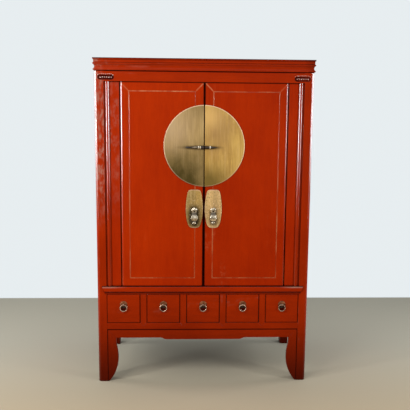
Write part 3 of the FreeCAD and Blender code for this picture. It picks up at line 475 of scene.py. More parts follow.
# Painted shade along the rail's foot, where it meets the apron.
def lower_rail_shadow(finish):
    return finish.line("Z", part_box("lower_rail")[0].z, 3 * MM)


def waist_shade(finish):
    """Painted shade in the quirk under the nose, and along the line of the bead at the rail's foot."""
    low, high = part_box("waist_rail")
    return finish.line("Z", low.z + 8 * MM, 10 * MM) * 0.7 + finish.line("Z", high.z, 3 * MM)


def waist_highlight(finish):
    """A painted highlight along the top of the nose, at its two ends."""
    _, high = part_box("waist_rail")
    ends = finish.axis("X").size().step(0.40, 0.50)
    return finish.line("Z", high.z - 4 * MM, 7 * MM) * ends


# Painted shade under the cornice's foot and just above the doors' tops.
def frieze_shade(finish):
    _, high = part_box("frieze_rail")
    return finish.line("Z", high.z, 3 * MM) * 0.8 + finish.line("Z", door_front("left")[1].z, 4 * MM)


def cornice_shade(finish):
    """Painted shade under the foot of the moulding, in the cove and over the right end, and a dark line
    along the top lip.
    """
    low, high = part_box("cornice_front")
    lip = finish.line("Z", high.z, 6 * MM) * (1 - finish.square_to("Z").step(0.5, 0.9))
    right_end = finish.axis("X").step(high.x - 70 * MM, high.x - 10 * MM) * 0.35
    cove = finish.line("Z", high.z - COVE_DEPTH, 3 * MM) * 0.5
    return lip + right_end + finish.line("Z", low.z, 3 * MM) * 0.8 + cove


def cornice_wear(finish):
    """The left end has been knocked and rubbed."""
    low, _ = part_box("cornice_front")
    left_end = 1 - finish.away(tuple(low)).step(30 * MM, 110 * MM)
    return left_end * finish.noise(34.0, 4.0, 0.7).step(0.46, 0.66) * 0.9


bracket_red = lacquer("bracket_lacquer", *FRAME_REDS, scuffs=0.2, shade_and_dirt=bracket_shade)
apron_red = lacquer("apron_lacquer", *FRAME_REDS, "x", shade_and_dirt=apron_shadow)
lower_rail_red = lacquer("lower_rail_lacquer", *FRAME_REDS, "x", shade_and_dirt=lower_rail_shadow)
waist_red = lacquer("waist_lacquer", *WAIST_REDS, "x", wear=waist_highlight, shade_and_dirt=waist_shade)
frieze_red = lacquer("frieze_lacquer", *FRIEZE_REDS, "x", shade_and_dirt=frieze_shade)
cornice_look = {"shade_and_dirt": cornice_shade, "shine": 0.04, "haze": 0.3}
cornice_red = lacquer("cornice_lacquer", *FRAME_REDS, "x", wear=cornice_wear, **cornice_look)
side_cornice_red = lacquer("side_cornice_lacquer", *FRAME_REDS, "y", **cornice_look)
print(f"{len(bpy.data.materials)} materials so far")


# %% [markdown]
# ## Drawers and dividers
#
# The five drawers share one lacquer. A Math node that wraps the distance along X repeats the same painted
# shade on each: dark sides, and a dark round patch where the ring's shadow falls.

# %% Drawer and divider lacquer
def from_drawer_middle(finish, shift=0.0):
    """How far a place is from the middle line of the nearest drawer, or of a divider with a shift."""
    left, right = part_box("drawer_1_ring"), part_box("drawer_2_ring")
    pitch = right[0].x - left[0].x
    across = finish.axis("X") - ((left[0].x + left[1].x) / 2 + shift * pitch)
    return finish.node("ShaderNodeMath", {"operation": "WRAP"}, {0: across, 1: pitch / 2, 2: -pitch / 2})


def drawer_shade(finish):
    """Painted shade: dark sides, the right one more, and the shadows of the rings."""
    low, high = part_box("drawer_1_front")
    ring_low, ring_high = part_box("drawer_1_ring")
    across = from_drawer_middle(finish)
    up = finish.axis("Z") - (ring_low.z + ring_high.z) / 2
    distance = finish.node("ShaderNodeMath", {"operation": "SQRT"}, {0: across * across + up * up})
    edge = (high.x - low.x) / 2
    right_side = across.step(edge - 5 * MM, edge - 1.5 * MM) * 0.6
    left_side = (1 - across.step(1.5 * MM - edge, 4 * MM - edge)) * 0.3
    return left_side + right_side + (1 - distance.step(13 * MM, 23 * MM)) * 0.9


# Painted shade: a dark line along each edge of a divider.
def divider_shade(finish):
    half_width = (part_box("drawer_2_front")[0].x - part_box("drawer_1_front")[1].x) / 2
    across = from_drawer_middle(finish, 0.5).size()
    return across.step(half_width - 5 * MM, half_width - 1.5 * MM) * 0.6


drawer_red = lacquer("drawer_lacquer", *FRAME_REDS, "x", scuffs=0.15, shade_and_dirt=drawer_shade)
divider_red = lacquer("divider_lacquer", *FRAME_REDS, scuffs=0.2, shade_and_dirt=divider_shade)
print(f"{len(bpy.data.materials)} materials so far")


# %% [markdown]
# ## Sheet brass
#
# The plates are cut from sheet, rubbed in vertical strokes and left to tarnish: olive and brown in patches,
# pitted in places, golden where they are still handled, and bright along the filed rim. On a round plate
# that bright rim is a painted highlight, strongest on the upper half. Soft spots of colour lie where the
# tarnish and the painted shadows do, which a noise alone would never hit.

# %% Sheet brass
RIM_HIGHLIGHT = (1.0, 0.66, 0.42, 1)
EDGE_COPPER = (0.85, 0.50, 0.32, 1)


def sheet_brass(name, dull, gold, tarnish, spots=(), disc=None, outline=None, pitted=0.0):
    """Brass with spots of tarnish and painted shadow, and a bright rim where a disc or an outline box is
    given; on a disc the rim is a painted highlight, brighter on its upper half.
    """
    finish = Finish(name)
    strokes = finish.noise(150.0, 4.0, 0.7, (1, 1, 0.035))
    bands = finish.noise(26.0, 4.0, 0.65, (1, 1, 0.16), 0.5)
    stains = finish.noise(11.0, 6.0, 0.68, (1, 1, 0.6), 0.3)
    metal = finish.mix(bands.step(0.34, 0.66), paint(dull), paint(gold))
    metal = finish.mix(stains.step(0.44, 0.70) * 0.6, metal, paint(tarnish))
    metal = finish.mix(strokes.step(0.45, 0.75) * 0.35, metal, (0.85, 0.60, 0.30, 1))
    metal = finish.mix((1 - strokes.step(0.25, 0.5)) * 0.4, metal, paint(dull, 0.55))
    for place, reach, squash, colour, strength in spots:
        patch = (1 - finish.away(place, squash).step(0.0, reach)) * (0.4 + stains * 1.2)
        metal = finish.mix(patch * strength, metal, paint(colour))
    pits = finish.noise(115.0, 4.0, 0.75)
    metal = finish.mix(pits.step(0.50, 0.66) * pitted, metal, paint(dull, 0.22))
    metal = finish.mix((1 - pits.step(0.34, 0.46)) * pitted, metal, (0.95, 0.70, 0.46, 1))
    if disc:
        middle, radius = disc
        # Painted highlight: the rim of a disc is lighter, most on its upper half.
        upper = 0.3 + finish.axis("Z").step(middle[2] - radius, middle[2]) * 0.7
        border = finish.away(middle).step(radius - 5.5 * MM, radius - 1.5 * MM)
        metal = finish.mix(border * (0.5 + bands * 0.6) * upper, metal, RIM_HIGHLIGHT)
    if outline:
        low, high = outline
        across = (finish.axis("X") - (low.x + high.x) / 2) * (2 / (high.x - low.x))
        up = (finish.axis("Z") - (low.z + high.z) / 2) * (2 / (high.z - low.z))
        across, up = across * across, up * up
        border = (across * across + up * up).step(0.70, 1.05)
        metal = finish.mix(border * (0.35 + bands * 0.5), metal, EDGE_COPPER)
    return finish.set(
        Base_Color=metal,
        Metallic=0.8,
        Roughness=0.36 + stains * 0.16 + strokes * 0.08,
        Normal=finish.bump(strokes * 0.5 + bands * 0.3 + stains * 0.4 + pits * pitted, 0.0004, 0.7),
    )


print("sheet brass: a spot is (place, reach, squash, colour, strength), a disc is (middle, radius)")


# %% [markdown]
# ## Cast brass and iron
#
# Drops and rings are cast and polished by use, so they keep sharp highlights. Painted shade keeps the drops
# dark at the waist, the neck and the sides, and the round plates behind the rings dark below the rings'
# heads. The bolt is forged iron, nearly black with a little rust.

# %% Cast brass and iron
def cast_brass(name, dark, light, polish=0.24, shade_below=None, shaded_levels=(), shaded_sides=0.0):
    """Cast brass, dark in its hollows, with painted shade below a level, at some levels and on its sides."""
    finish = Finish(name)
    casting = finish.noise(260.0, 4.0, 0.6)
    wear = finish.noise(70.0, 3.0, 0.6)
    shade_and_grime = finish.hollows(4 * MM).step(0.35, 0.95)
    # Painted shade below a level, at some levels, and on the sides turned away from the front.
    if shade_below:
        shade_and_grime = shade_and_grime + 1 - finish.axis("Z").step(shade_below - 3 * MM, shade_below + 2 * MM)
    for level, reach in shaded_levels:
        shade_and_grime = shade_and_grime + finish.line("Z", level, reach) * (0.55 + wear * 0.5)
    shade_and_grime = (shade_and_grime + (1 - finish.square_to("Y").step(0.30, 0.90)) * shaded_sides).step(0.0, 1.0)
    metal = finish.mix(wear.step(0.35, 0.62), paint(dark), paint(light))
    metal = finish.mix(shade_and_grime * 0.92, metal, (0.022, 0.012, 0.006, 1))
    return finish.set(
        Base_Color=metal,
        Metallic=0.92 - shade_and_grime * 0.6,
        Roughness=polish + casting * 0.14 + shade_and_grime * 0.35,
        Normal=finish.bump(casting, 0.0004, 0.5),
    )


def forged_iron(name):
    finish = Finish(name)
    scale = finish.noise(150.0, 5.0, 0.65)
    rust = finish.noise(45.0, 4.0, 0.7).step(0.5, 0.7)
    metal = finish.mix(rust * 0.7, (0.055, 0.045, 0.040, 1), (0.11, 0.045, 0.020, 1))
    return finish.set(
        Base_Color=metal,
        Metallic=0.75,
        Roughness=0.34 + scale * 0.3,
        Normal=finish.bump(scale, 0.0006, 0.8),
    )


pull_low, pull_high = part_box("left_pull")
PULL_WAIST, PULL_NECK = (pull_high.z + (pull_low.z - pull_high.z) * share for share in (0.36, 0.84))
rosette_low, rosette_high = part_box("drawer_1_rosette")
RING_SHADE = (rosette_low.z + rosette_high.z) / 2 - 7 * MM
pull_brass = cast_brass(
    "pull_brass", (0.30, 0.235, 0.160), (0.92, 0.78, 0.60), 0.14,
    shaded_levels=((PULL_WAIST, 15 * MM), (PULL_NECK, 6 * MM)), shaded_sides=1.0,
)
ring_brass = cast_brass("ring_brass", (0.17, 0.105, 0.075), (0.56, 0.385, 0.290), 0.20)
rosette_brass = cast_brass("rosette_brass", (0.09, 0.030, 0.013), (0.26, 0.095, 0.040), 0.42, RING_SHADE)
eye_brass = cast_brass("eye_brass", (0.78, 0.66, 0.48), (1.0, 0.94, 0.82), 0.2)
barrel_brass = cast_brass("barrel_brass", (0.10, 0.075, 0.050), (0.34, 0.27, 0.19), 0.25)
iron = forged_iron("forged_iron")
print(f"drops stay dark at {PULL_WAIST:.3f} and {PULL_NECK:.3f} m")


# %% [markdown]
# ## Softening the joinery
#
# Lacquered boards have no knife edges. Each solid that stays gets its corners eased by about a
# millimetre, which also draws the fine dark line where two boards meet. The solids arrive as
# triangles that share no corners, so a weld joins them before the bevel. Curved parts are shaded
# smooth. Nodes of several flat boards are shaded flat and get a finer bevel.

# %% Ease the edges of the boards
SMOOTH_ANGLE = math.radians(30)
CORNER_ANGLE = math.radians(50)


def bevel_corners(piece, width, segments, angle=CORNER_ANGLE, hard=True):
    """Round the corners sharper than an angle. Hard keeps the faces between them flat to the eye."""
    bevel = piece.modifiers.new("eased_edges", "BEVEL")
    bevel.width = width
    bevel.segments = segments
    bevel.limit_method = "ANGLE"
    bevel.angle_limit = angle
    bevel.harden_normals = hard


def ease(node, width, curved):
    mesh = node.data
    if "custom_normal" in mesh.attributes:
        mesh.attributes.remove(mesh.attributes["custom_normal"])
    if curved:
        mesh.shade_smooth()
    else:
        mesh.shade_flat()
    weld = node.modifiers.new("weld", "WELD")
    weld.merge_threshold = 0.01 * MM
    bevel_corners(node, width, 2 if curved else 3, SMOOTH_ANGLE, curved)


def dress(names, material, width=1.1 * MM, curved=True):
    for name in names.split():
        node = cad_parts[name]
        ease(node, width, curved)
        for slot in node.material_slots:
            slot.material = material


dress("left_front_post right_front_post rear_posts", post_red)
dress("bead_strips", strip_red)
dress("filler_panels", filler_red, curved=False)
dress("side_panels", side_panel_red, curved=False)
dress("left_leg_bracket right_leg_bracket", bracket_red)
dress("drawer_dividers", divider_red, 1.6 * MM, curved=False)
dress("cornice_front", cornice_red)
dress("left_cornice right_cornice", side_cornice_red)
dress("cornice_back", cornice_red, curved=False)
dress("top_panel", top_red, curved=False)
dress("frieze_rail", frieze_red)
dress("waist_rail", waist_red)
dress("lower_rail", lower_rail_red, curved=False)
dress("front_apron", apron_red, 1.6 * MM)
dress("side_rails side_aprons", side_red, curved=False)
for side, door_red in door_reds.items():
    dress(f"{side}_door_frame", door_red, 2.0 * MM, curved=False)
    dress(f"{side}_door_panel", door_red, 0.8 * MM, curved=False)
dress("cupboard_floor shelf dust_board back_rails", inner_wood, curved=False)
dress("back_boards", back_wood, curved=False)
dress("shelf_bearers drawer_guides", box_wood, curved=False)
drawers = sorted(name[:-len("_box")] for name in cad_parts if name.endswith("_box"))
for drawer in drawers:
    dress(f"{drawer}_front", drawer_red, 2.2 * MM, curved=False)
    dress(f"{drawer}_box", box_wood, 0.6 * MM, curved=False)
eased = [name for name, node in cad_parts.items() if node.modifiers]
print(f"{len(eased)} nodes eased, {len(drawers)} drawers")


# %% [markdown]
# ## Flat pieces
#
# Every new piece goes through one maker. It turns the faces outwards, keeps sharp edges sharp, gives
# the piece its material and lets it ride on its body. Tongues, brass plates and the grounds of the
# carving are flat, and a slab is enough for them: an outline with thickness and a rounded rim.

# %% Pieces and slabs
def add_piece(name, vertices, faces, material, body, smooth=SMOOTH_ANGLE):
    mesh = bpy.data.meshes.new(name)
    mesh.from_pydata([tuple(vertex) for vertex in vertices], [], faces)
    mesh.validate()
    build = bmesh.new()
    build.from_mesh(mesh)
    bmesh.ops.recalc_face_normals(build, faces=build.faces)
    build.to_mesh(mesh)
    build.free()
    mesh.shade_smooth()
    mesh.set_sharp_from_angle(angle=smooth)
    mesh.materials.append(material)
    piece = bpy.data.objects.new(name, mesh)
    bpy.context.collection.objects.link(piece)
    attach(piece, body)
    return piece


def slab(name, outline, front, back, material, body, rim=0.5 * MM):
    """An outline of (x, z) pairs between two Y levels, with rounded rims."""
    vertices = [Vector((x, front, z)) for x, z in outline] + [Vector((x, back, z)) for x, z in outline]
    count = len(outline)
    faces = [tuple(range(count)), tuple(range(count, 2 * count))]
    faces += [(i, (i + 1) % count, count + (i + 1) % count, count + i) for i in range(count)]
    piece = add_piece(name, vertices, faces, material, body)
    bevel_corners(piece, rim, 3)
    return piece


print("a slab is an outline of (x, z) pairs between two levels on Y")


# %% [markdown]
# ## Tongues between the back boards
#
# The upright boards of the back stand a hair apart, as boards do once they have dried. A thin
# tongue in each joint keeps the light out.

# %% Tongues
BACK_BOARDS = 4
TONGUE_WIDTH, TONGUE_DEPTH = 1.6 * MM, 3 * MM
low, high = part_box("back_boards")
board_pitch = (high.x - low.x) / BACK_BOARDS
tongue_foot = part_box("waist_rail")[1].z
tongue_back = (low.y + high.y + TONGUE_DEPTH) / 2
levels = tongue_back - TONGUE_DEPTH, tongue_back
for joint in range(1, BACK_BOARDS):
    x = low.x + joint * board_pitch
    left, right = x - TONGUE_WIDTH / 2, x + TONGUE_WIDTH / 2
    outline = [(left, tongue_foot), (right, tongue_foot), (right, high.z), (left, high.z)]
    tongue = slab(f"back_tongue_{joint}", outline, *levels, back_wood, "cabinet", 0.1 * MM)
print(f"{BACK_BOARDS - 1} tongues, one every {board_pitch / MM:.1f} mm")


# %% [markdown]
# ## The round plate
#
# The big round plate is cut from one sheet and sawn in two along the gap between the doors. The two halves
# are coloured apart as painted reflection: the left one greyer, the right one more golden. A painted shadow
# lies behind the bolt, as a dark streak that runs to a point on either side.

# %% Round plate
def arc(middle, radius, start, end, steps):
    angles = [math.radians(start + (end - start) * index / steps) for index in range(steps + 1)]
    return [(middle[0] + radius * math.cos(a), middle[1] + radius * math.sin(a)) for a in angles]


low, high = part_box("left_moon_plate")
MOON_RADIUS = -low.x
MOON_MIDDLE = (0.0, (low.z + high.z) / 2)
DOOR_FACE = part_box("left_door_panel")[0].y
PLATE_THICKNESS = 2.5 * MM
PLATE_FACE = DOOR_FACE - PLATE_THICKNESS
MOON_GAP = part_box("right_moon_plate")[0].x
BOLT_SHADOW = (0.028, 0.018, 0.008)
moon_disc = (0.0, PLATE_FACE, MOON_MIDDLE[1]), MOON_RADIUS
ROUND = (1, 1, 1)


def on_moon(across, up):
    """A spot on the round plate, in shares of its radius from its middle."""
    return across * MOON_RADIUS, PLATE_FACE, MOON_MIDDLE[1] + up * MOON_RADIUS


# Painted reflection: the two halves get different colours, as they reflect the room differently.
left_moon_brass = sheet_brass(
    "left_moon_brass", (0.41, 0.255, 0.090), (0.54, 0.345, 0.128), (0.30, 0.185, 0.056),
    spots=(
        (on_moon(-0.60, -0.90), 1.3 * MOON_RADIUS, ROUND, (0.085, 0.055, 0.010), 1.05),
        (on_moon(-0.10, 0.95), 0.6 * MOON_RADIUS, ROUND, (0.19, 0.115, 0.050), 0.5),
        (on_moon(-0.85, 0.45), 0.9 * MOON_RADIUS, ROUND, (0.58, 0.385, 0.215), 0.7),
        # Painted shadow of the bolt.
        (on_moon(0.0, -0.035), 0.80 * MOON_RADIUS, (1, 1, 10), BOLT_SHADOW, 1.3),
    ),
    disc=moon_disc,
)
right_moon_brass = sheet_brass(
    "right_moon_brass", (0.53, 0.295, 0.070), (0.70, 0.420, 0.105), (0.42, 0.220, 0.055),
    spots=(
        (on_moon(0.35, 0.40), 0.6 * MOON_RADIUS, (1, 1, 0.7), (0.38, 0.205, 0.080), 0.6),
        (on_moon(0.15, -0.95), 0.8 * MOON_RADIUS, ROUND, (0.22, 0.135, 0.028), 1.1),
        (on_moon(0.12, 0.70), 0.5 * MOON_RADIUS, ROUND, (0.84, 0.50, 0.17), 0.6),
        # Painted shadow of the bolt.
        (on_moon(0.0, -0.035), 0.58 * MOON_RADIUS, (1, 1, 8), BOLT_SHADOW, 1.3),
    ),
    disc=moon_disc,
)
gap_angle = math.degrees(math.asin(MOON_GAP / MOON_RADIUS))
right_half = arc(MOON_MIDDLE, MOON_RADIUS, -90 + gap_angle, 90 - gap_angle, 72)
left_half = [(-x, z) for x, z in right_half]
for side, half, brass in (("left", left_half, left_moon_brass), ("right", right_half, right_moon_brass)):
    plate = slab(f"{side}_moon", half, PLATE_FACE, DOOR_FACE, brass, f"{side}_door")
    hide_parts(f"{side}_moon_plate")
print(f"round plate {2 * MOON_RADIUS / MM:.0f} mm across, sawn in two {2 * MOON_GAP / MM:.0f} mm apart")


# %% [markdown]
# ## The pull plates
#
# Each drop has a barrel-shaped plate behind it, with bowed sides, round shoulders and a soft rim. A few
# widths along its height, joined by a smooth curve, give the outline. Behind the drop the brass is darkened
# with a painted shadow.

# %% Pull plates
def share_at(table, place):
    """Read a table of (place, share) rows along a smooth curve through them."""
    last = len(table) - 1
    row = next((index for index in range(1, last) if place <= table[index][0]), last)
    before, start, end, after = (table[min(max(index, 0), last)] for index in range(row - 2, row + 2))
    span = end[0] - start[0]
    t = (place - start[0]) / span
    rise_in = (end[1] - before[1]) / (end[0] - before[0]) * span
    rise_out = (after[1] - start[1]) / (after[0] - start[0]) * span
    smooth = t * t * (3 - 2 * t)
    bend = rise_in * t * (1 - t) ** 2 - rise_out * t * t * (1 - t)
    return start[1] + (end[1] - start[1]) * smooth + bend


BARREL_SHARES = (
    (0.000, 0.22), (0.008, 0.40), (0.029, 0.56), (0.060, 0.67), (0.100, 0.75), (0.165, 0.83),
    (0.250, 0.91), (0.375, 0.975), (0.500, 1.00), (0.625, 0.98), (0.750, 0.92), (0.850, 0.85),
    (0.925, 0.77), (0.960, 0.71), (0.982, 0.62), (0.994, 0.50), (1.000, 0.36),
)


def barrel_outline(low, high, rows=48):
    """Bowed sides between a flatter top with small corners and a rounder foot."""
    middle, half_width = (low.x + high.x) / 2, (high.x - low.x) / 2
    places = [(1 - math.cos(math.pi * row / rows)) / 2 for row in range(rows + 1)]
    right = [(half_width * share_at(BARREL_SHARES, at), low.z + at * (high.z - low.z)) for at in places]
    left = [(-x, z) for x, z in reversed(right)]
    return [(middle + x, z) for x, z in right + left]


def behind_drop(side, share):
    """A spot on a pull plate, as a share of the drop's length from its head."""
    low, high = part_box(f"{side}_pull")
    return (low.x + high.x) / 2, PLATE_FACE, high.z - share * (high.z - low.z)


pull_plate_brass = {
    "left": sheet_brass(
        "left_pull_plate_brass", (0.46, 0.285, 0.090), (0.67, 0.400, 0.108), (0.31, 0.200, 0.062),
        spots=(
            # Painted shadow of the drop.
            (behind_drop("left", 0.30), 62 * MM, (1.2, 1, 1), (0.050, 0.034, 0.011), 1.5),
            (behind_drop("left", 0.80), 66 * MM, (1.2, 1, 1), (0.040, 0.026, 0.009), 1.5),
        ),
        outline=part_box("left_pull_plate"),
        pitted=0.35,
    ),
    "right": sheet_brass(
        "right_pull_plate_brass", (0.58, 0.360, 0.140), (0.82, 0.515, 0.205), (0.54, 0.335, 0.145),
        spots=(
            # Painted shadow of the drop.
            (behind_drop("right", 0.30), 40 * MM, (1.3, 1, 1), (0.045, 0.030, 0.013), 1.4),
            (behind_drop("right", 0.80), 44 * MM, (1.2, 1, 1), (0.045, 0.028, 0.012), 1.4),
        ),
        outline=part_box("right_pull_plate"),
        pitted=0.55,
    ),
}
PLATE_RIM = 0.9 * MM
for side, brass in pull_plate_brass.items():
    outline = barrel_outline(*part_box(f"{side}_pull_plate"))
    plate = slab(f"{side}_pull_barrel", outline, PLATE_FACE, DOOR_FACE, brass, f"{side}_door", PLATE_RIM)
    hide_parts(f"{side}_pull_plate")
print(f"pull plates of {len(outline)} corners each")


# %% [markdown]
# ## Skins over rows of points
#
# Drops, staples, rings and the bolt differ in how they are made, by casting, bending or forging, but
# all have a section that can be followed along them. Each section becomes a row of points, and one
# function draws a skin over the rows. It closes the two ends, or joins them where the piece is a ring.

# %% Skins
def skin(rows, looped=False):
    """Corners and faces over rows of points. A looped skin joins its last row to its first."""
    count = len(rows[0])
    faces = []
    for row in range(len(rows) if looped else len(rows) - 1):
        low, high = row * count, (row + 1) % len(rows) * count
        for point in range(count):
            after = (point + 1) % count
            faces.append((low + point, low + after, high + after, high + point))
    if not looped:
        last = (len(rows) - 1) * count
        faces += [tuple(range(count)), tuple(range(last, last + count))]
    return [point for row in rows for point in row], faces


def circle(segments):
    """Even steps round a circle, as (cosine, sine) pairs."""
    angles = [2 * math.pi * turn / segments for turn in range(segments)]
    return [(math.cos(angle), math.sin(angle)) for angle in angles]


print(f"a skin over 3 rows of 8 points has {len(skin([circle(8)] * 3)[1])} faces")


# %% [markdown]
# ## Drop pulls
#
# Each drop is a cast piece: an eye in the head, a waist, a body that swells to a full belly, and a
# small knob at the foot. Its width and its depth follow two curves of their own, so it is rounder
# than a flat cut-out.

# %% Shape of a drop
DROP_WIDTH_SHARES = (
    (0.000, 0.34), (0.030, 0.60), (0.080, 0.80), (0.140, 0.85), (0.220, 0.74), (0.300, 0.62),
    (0.380, 0.66), (0.480, 0.84), (0.580, 0.98), (0.650, 1.00), (0.730, 0.87), (0.790, 0.62),
    (0.830, 0.42), (0.865, 0.36), (0.900, 0.46), (0.940, 0.50), (0.975, 0.38), (1.000, 0.12),
)
DROP_DEPTH_SHARES = (
    (0.000, 0.45), (0.060, 0.86), (0.140, 0.96), (0.240, 0.80), (0.330, 0.52), (0.420, 0.60),
    (0.540, 0.92), (0.630, 1.00), (0.730, 0.80), (0.830, 0.40), (0.930, 0.90), (1.000, 0.30),
)


def drop_mesh(name, low, high, material, body, steps=72):
    """A body of oval rows from the head down, inside the box of its solid."""
    middle, half = (low + high) / 2, (high - low) / 2
    rows = []
    for step in range(steps + 1):
        place = step / steps
        wide = share_at(DROP_WIDTH_SHARES, place) * half.x
        deep = share_at(DROP_DEPTH_SHARES, place) * half.y
        level = high.z - place * (high.z - low.z)
        rows.append([Vector((middle.x + c * wide, middle.y + s * deep, level)) for c, s in circle(44)])
    return add_piece(name, *skin(rows), material, body, math.radians(60))


print(f"{len(DROP_WIDTH_SHARES)} widths and {len(DROP_DEPTH_SHARES)} depths shape a drop")


# %% [markdown]
# ## Staples
#
# A staple is a flat strip bent round an eye. Its two legs go through one slot in the board, and
# their ends are bent apart behind it, so it can't come out. Its path is worked out from the opening
# and the thickness, and a strip of even width is led along it.

# %% Bent strips and staples
STAPLE_STEPS = 28


def bent_strip(name, path, width, thickness, x, material, body):
    """A flat strip of metal along a path of (y, z) points, with its width along X."""
    points = [Vector(point) for point in path]
    rows = []
    for index, point in enumerate(points):
        before, after = points[max(index - 1, 0)], points[min(index + 1, len(points) - 1)]
        along = (after - before).normalized()
        outward = Vector((along.y, -along.x)) * thickness / 2
        corners = [(side, point + outward * sign) for side, sign in ((-1, 1), (1, 1), (1, -1), (-1, -1))]
        rows.append([Vector((x + side * width / 2, spot.x, spot.y)) for side, spot in corners])
    piece = add_piece(name, *skin(rows), material, body)
    bevel_corners(piece, thickness * 0.25, 2, hard=False)
    return piece


def staple(name, x, y, z, opening, thickness, width, leg_end, tail, material, body):
    """A strip led in through the board, round the opening and back, with its ends bent apart."""
    radius, leg = opening + thickness / 2, thickness * 0.55
    turn = math.asin(leg / radius)
    path = [(leg_end, z + leg + tail), (leg_end, z + leg)]
    for index in range(STAPLE_STEPS + 1):
        angle = turn + (2 * math.pi - 2 * turn) * index / STAPLE_STEPS
        path.append((y + math.cos(angle) * radius, z + math.sin(angle) * radius))
    path += [(leg_end, z - leg), (leg_end, z - leg - tail)]
    return bent_strip(name, path, width, thickness, x, material, body)


print(f"a staple goes round its eye in {STAPLE_STEPS} steps")


# %% [markdown]
# ## Hanging the drops
#
# A drop hangs by its eye in a staple that comes through the plate and the door. The eye is drilled
# with a Boolean, and the result is kept as the drop's own mesh, so the hole is cut only once.

# %% Drops and their staples
def drill(piece, centre, radius, half_length):
    """A round hole along Y, cut through a piece for good."""
    build = bmesh.new()
    turn = Matrix.Rotation(math.pi / 2, 4, "X")
    bmesh.ops.create_cone(
        build, cap_ends=True, segments=32, radius1=radius, radius2=radius, depth=2 * half_length,
        matrix=Matrix.Translation(centre) @ turn,
    )
    mesh = bpy.data.meshes.new("drill")
    build.to_mesh(mesh)
    build.free()
    bit = bpy.data.objects.new("drill", mesh)
    bpy.context.collection.objects.link(bit)
    cut = piece.modifiers.new("hole", "BOOLEAN")
    cut.object = bit
    cut.operation = "DIFFERENCE"
    cut.solver = "EXACT"
    shape = bpy.data.meshes.new_from_object(piece.evaluated_get(bpy.context.evaluated_depsgraph_get()))
    piece.modifiers.clear()
    piece.data = shape
    bpy.data.objects.remove(bit)


EYE_RADIUS = 5.2 * MM
EYE_RIM = 6 * MM
BENT_END = 9 * MM
SUNK = 0.7 * MM
LEG_WIDTH = 4 * MM
for side in ("left", "right"):
    low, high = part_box(f"{side}_pull")
    middle, depth, hang = (low.x + high.x) / 2, (low.y + high.y) / 2, high.z - EYE_RIM
    drop = drop_mesh(f"{side}_drop", low, high, pull_brass, f"{side}_pull")
    drill(drop, Vector((middle, depth, hang - EYE_RIM - EYE_RADIUS)), EYE_RADIUS, 20 * MM)
    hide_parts(f"{side}_pull")
    leg_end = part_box(f"{side}_pull_plate")[1].y - SUNK
    strip = staple(
        f"{side}_pull_staple", middle, depth, hang, 7.7 * MM, 2.4 * MM, LEG_WIDTH,
        leg_end, BENT_END, eye_brass, f"{side}_door",
    )
print(f"drops {(high.z - low.z) / MM:.0f} mm long, hung {hang:.3f} m above the floor")


# %% [markdown]
# ## Turned pieces
#
# The domes behind the rings, the bolt and the carved pearls are round about one axis, as if they
# came from a lathe. A profile is all that each one needs. Every pair in it gives the radius at a
# place along the axis, which makes one round row of points for the skin.

# %% Turned pieces
def turned(name, profile, start, axis, material, body, segments):
    """A profile of (along, radius) pairs, spun round an axis that begins at start."""
    axis = Vector(axis).normalized()
    side = axis.orthogonal().normalized()
    other = axis.cross(side)
    rows = []
    for along, radius in profile:
        middle = Vector(start) + axis * along
        rows.append([middle + (side * c * radius + other * s * radius) for c, s in circle(segments)])
    return add_piece(name, *skin(rows), material, body)


print("a profile is a list of (along, radius) pairs")


# %% [markdown]
# ## Drawer rings
#
# Each drawer has a small domed plate, a staple and a ring. The ring is smooth wire, a little
# flattened, and hangs free, so it covers the lower half of its plate.

# %% Rosettes, staples and rings
def hoop(name, centre, radius, half_width, half_thickness, material, body):
    """A ring about the Y axis, with an oval section."""
    rows = []
    for across, up in circle(72):
        outward = Vector((across, 0, up))
        rows.append([
            centre + outward * (radius + c * half_width) + Vector((0, s * half_thickness, 0))
            for c, s in circle(16)
        ])
    return add_piece(name, *skin(rows, looped=True), material, body, math.pi)


ROSETTE_SHARES = (
    (0.00, 1.00), (0.22, 1.00), (0.30, 0.975), (0.34, 0.90), (0.46, 0.86), (0.62, 0.74),
    (0.80, 0.56), (0.93, 0.36), (1.00, 0.16), (1.00, 0.02),
)
DOME_HEIGHT = 4 * MM
HALF_WIRE = 2.8 * MM
for drawer in drawers:
    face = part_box(f"{drawer}_front")[0].y
    low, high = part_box(f"{drawer}_rosette")
    x, z, radius = (low.x + high.x) / 2, (low.z + high.z) / 2, (high.x - low.x) / 2
    profile = [(along * DOME_HEIGHT, share * radius) for along, share in ROSETTE_SHARES]
    plate = turned(f"{drawer}_dome", profile, (x, face, z), (0, -1, 0), rosette_brass, drawer, 56)
    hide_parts(f"{drawer}_rosette")
    ring_low, ring_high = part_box(f"{drawer}_ring")
    ring_middle, ring_half = (ring_low + ring_high) / 2, (ring_high - ring_low) / 2
    strip = staple(
        f"{drawer}_staple", x, ring_middle.y, z, 3.8 * MM, 2.1 * MM, LEG_WIDTH,
        high.y - SUNK, BENT_END, ring_brass, drawer,
    )
    wire = ring_half.x - HALF_WIRE, HALF_WIRE, ring_half.y
    ring = hoop(f"{drawer}_hoop", Vector((x, *ring_middle.yz)), *wire, ring_brass, f"{drawer}_ring")
    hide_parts(f"{drawer}_ring")
print(f"{len(drawers)} rings, {2 * ring_half.x / MM:.1f} mm across")


# %% [markdown]
# ## The bolt
#
# A forged spindle lies across the two doors: a pointed tail, a turned barrel, two bright eyes, the
# nose by the gap, and on the right the keeper with its own eye and a long point.

# %% Bolt, barrel, eyes and keeper
bolt_low, bolt_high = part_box("lock_bolt")
LOCK_Y, LOCK_Z = (bolt_low.y + bolt_high.y) / 2, (bolt_low.z + bolt_high.z) / 2


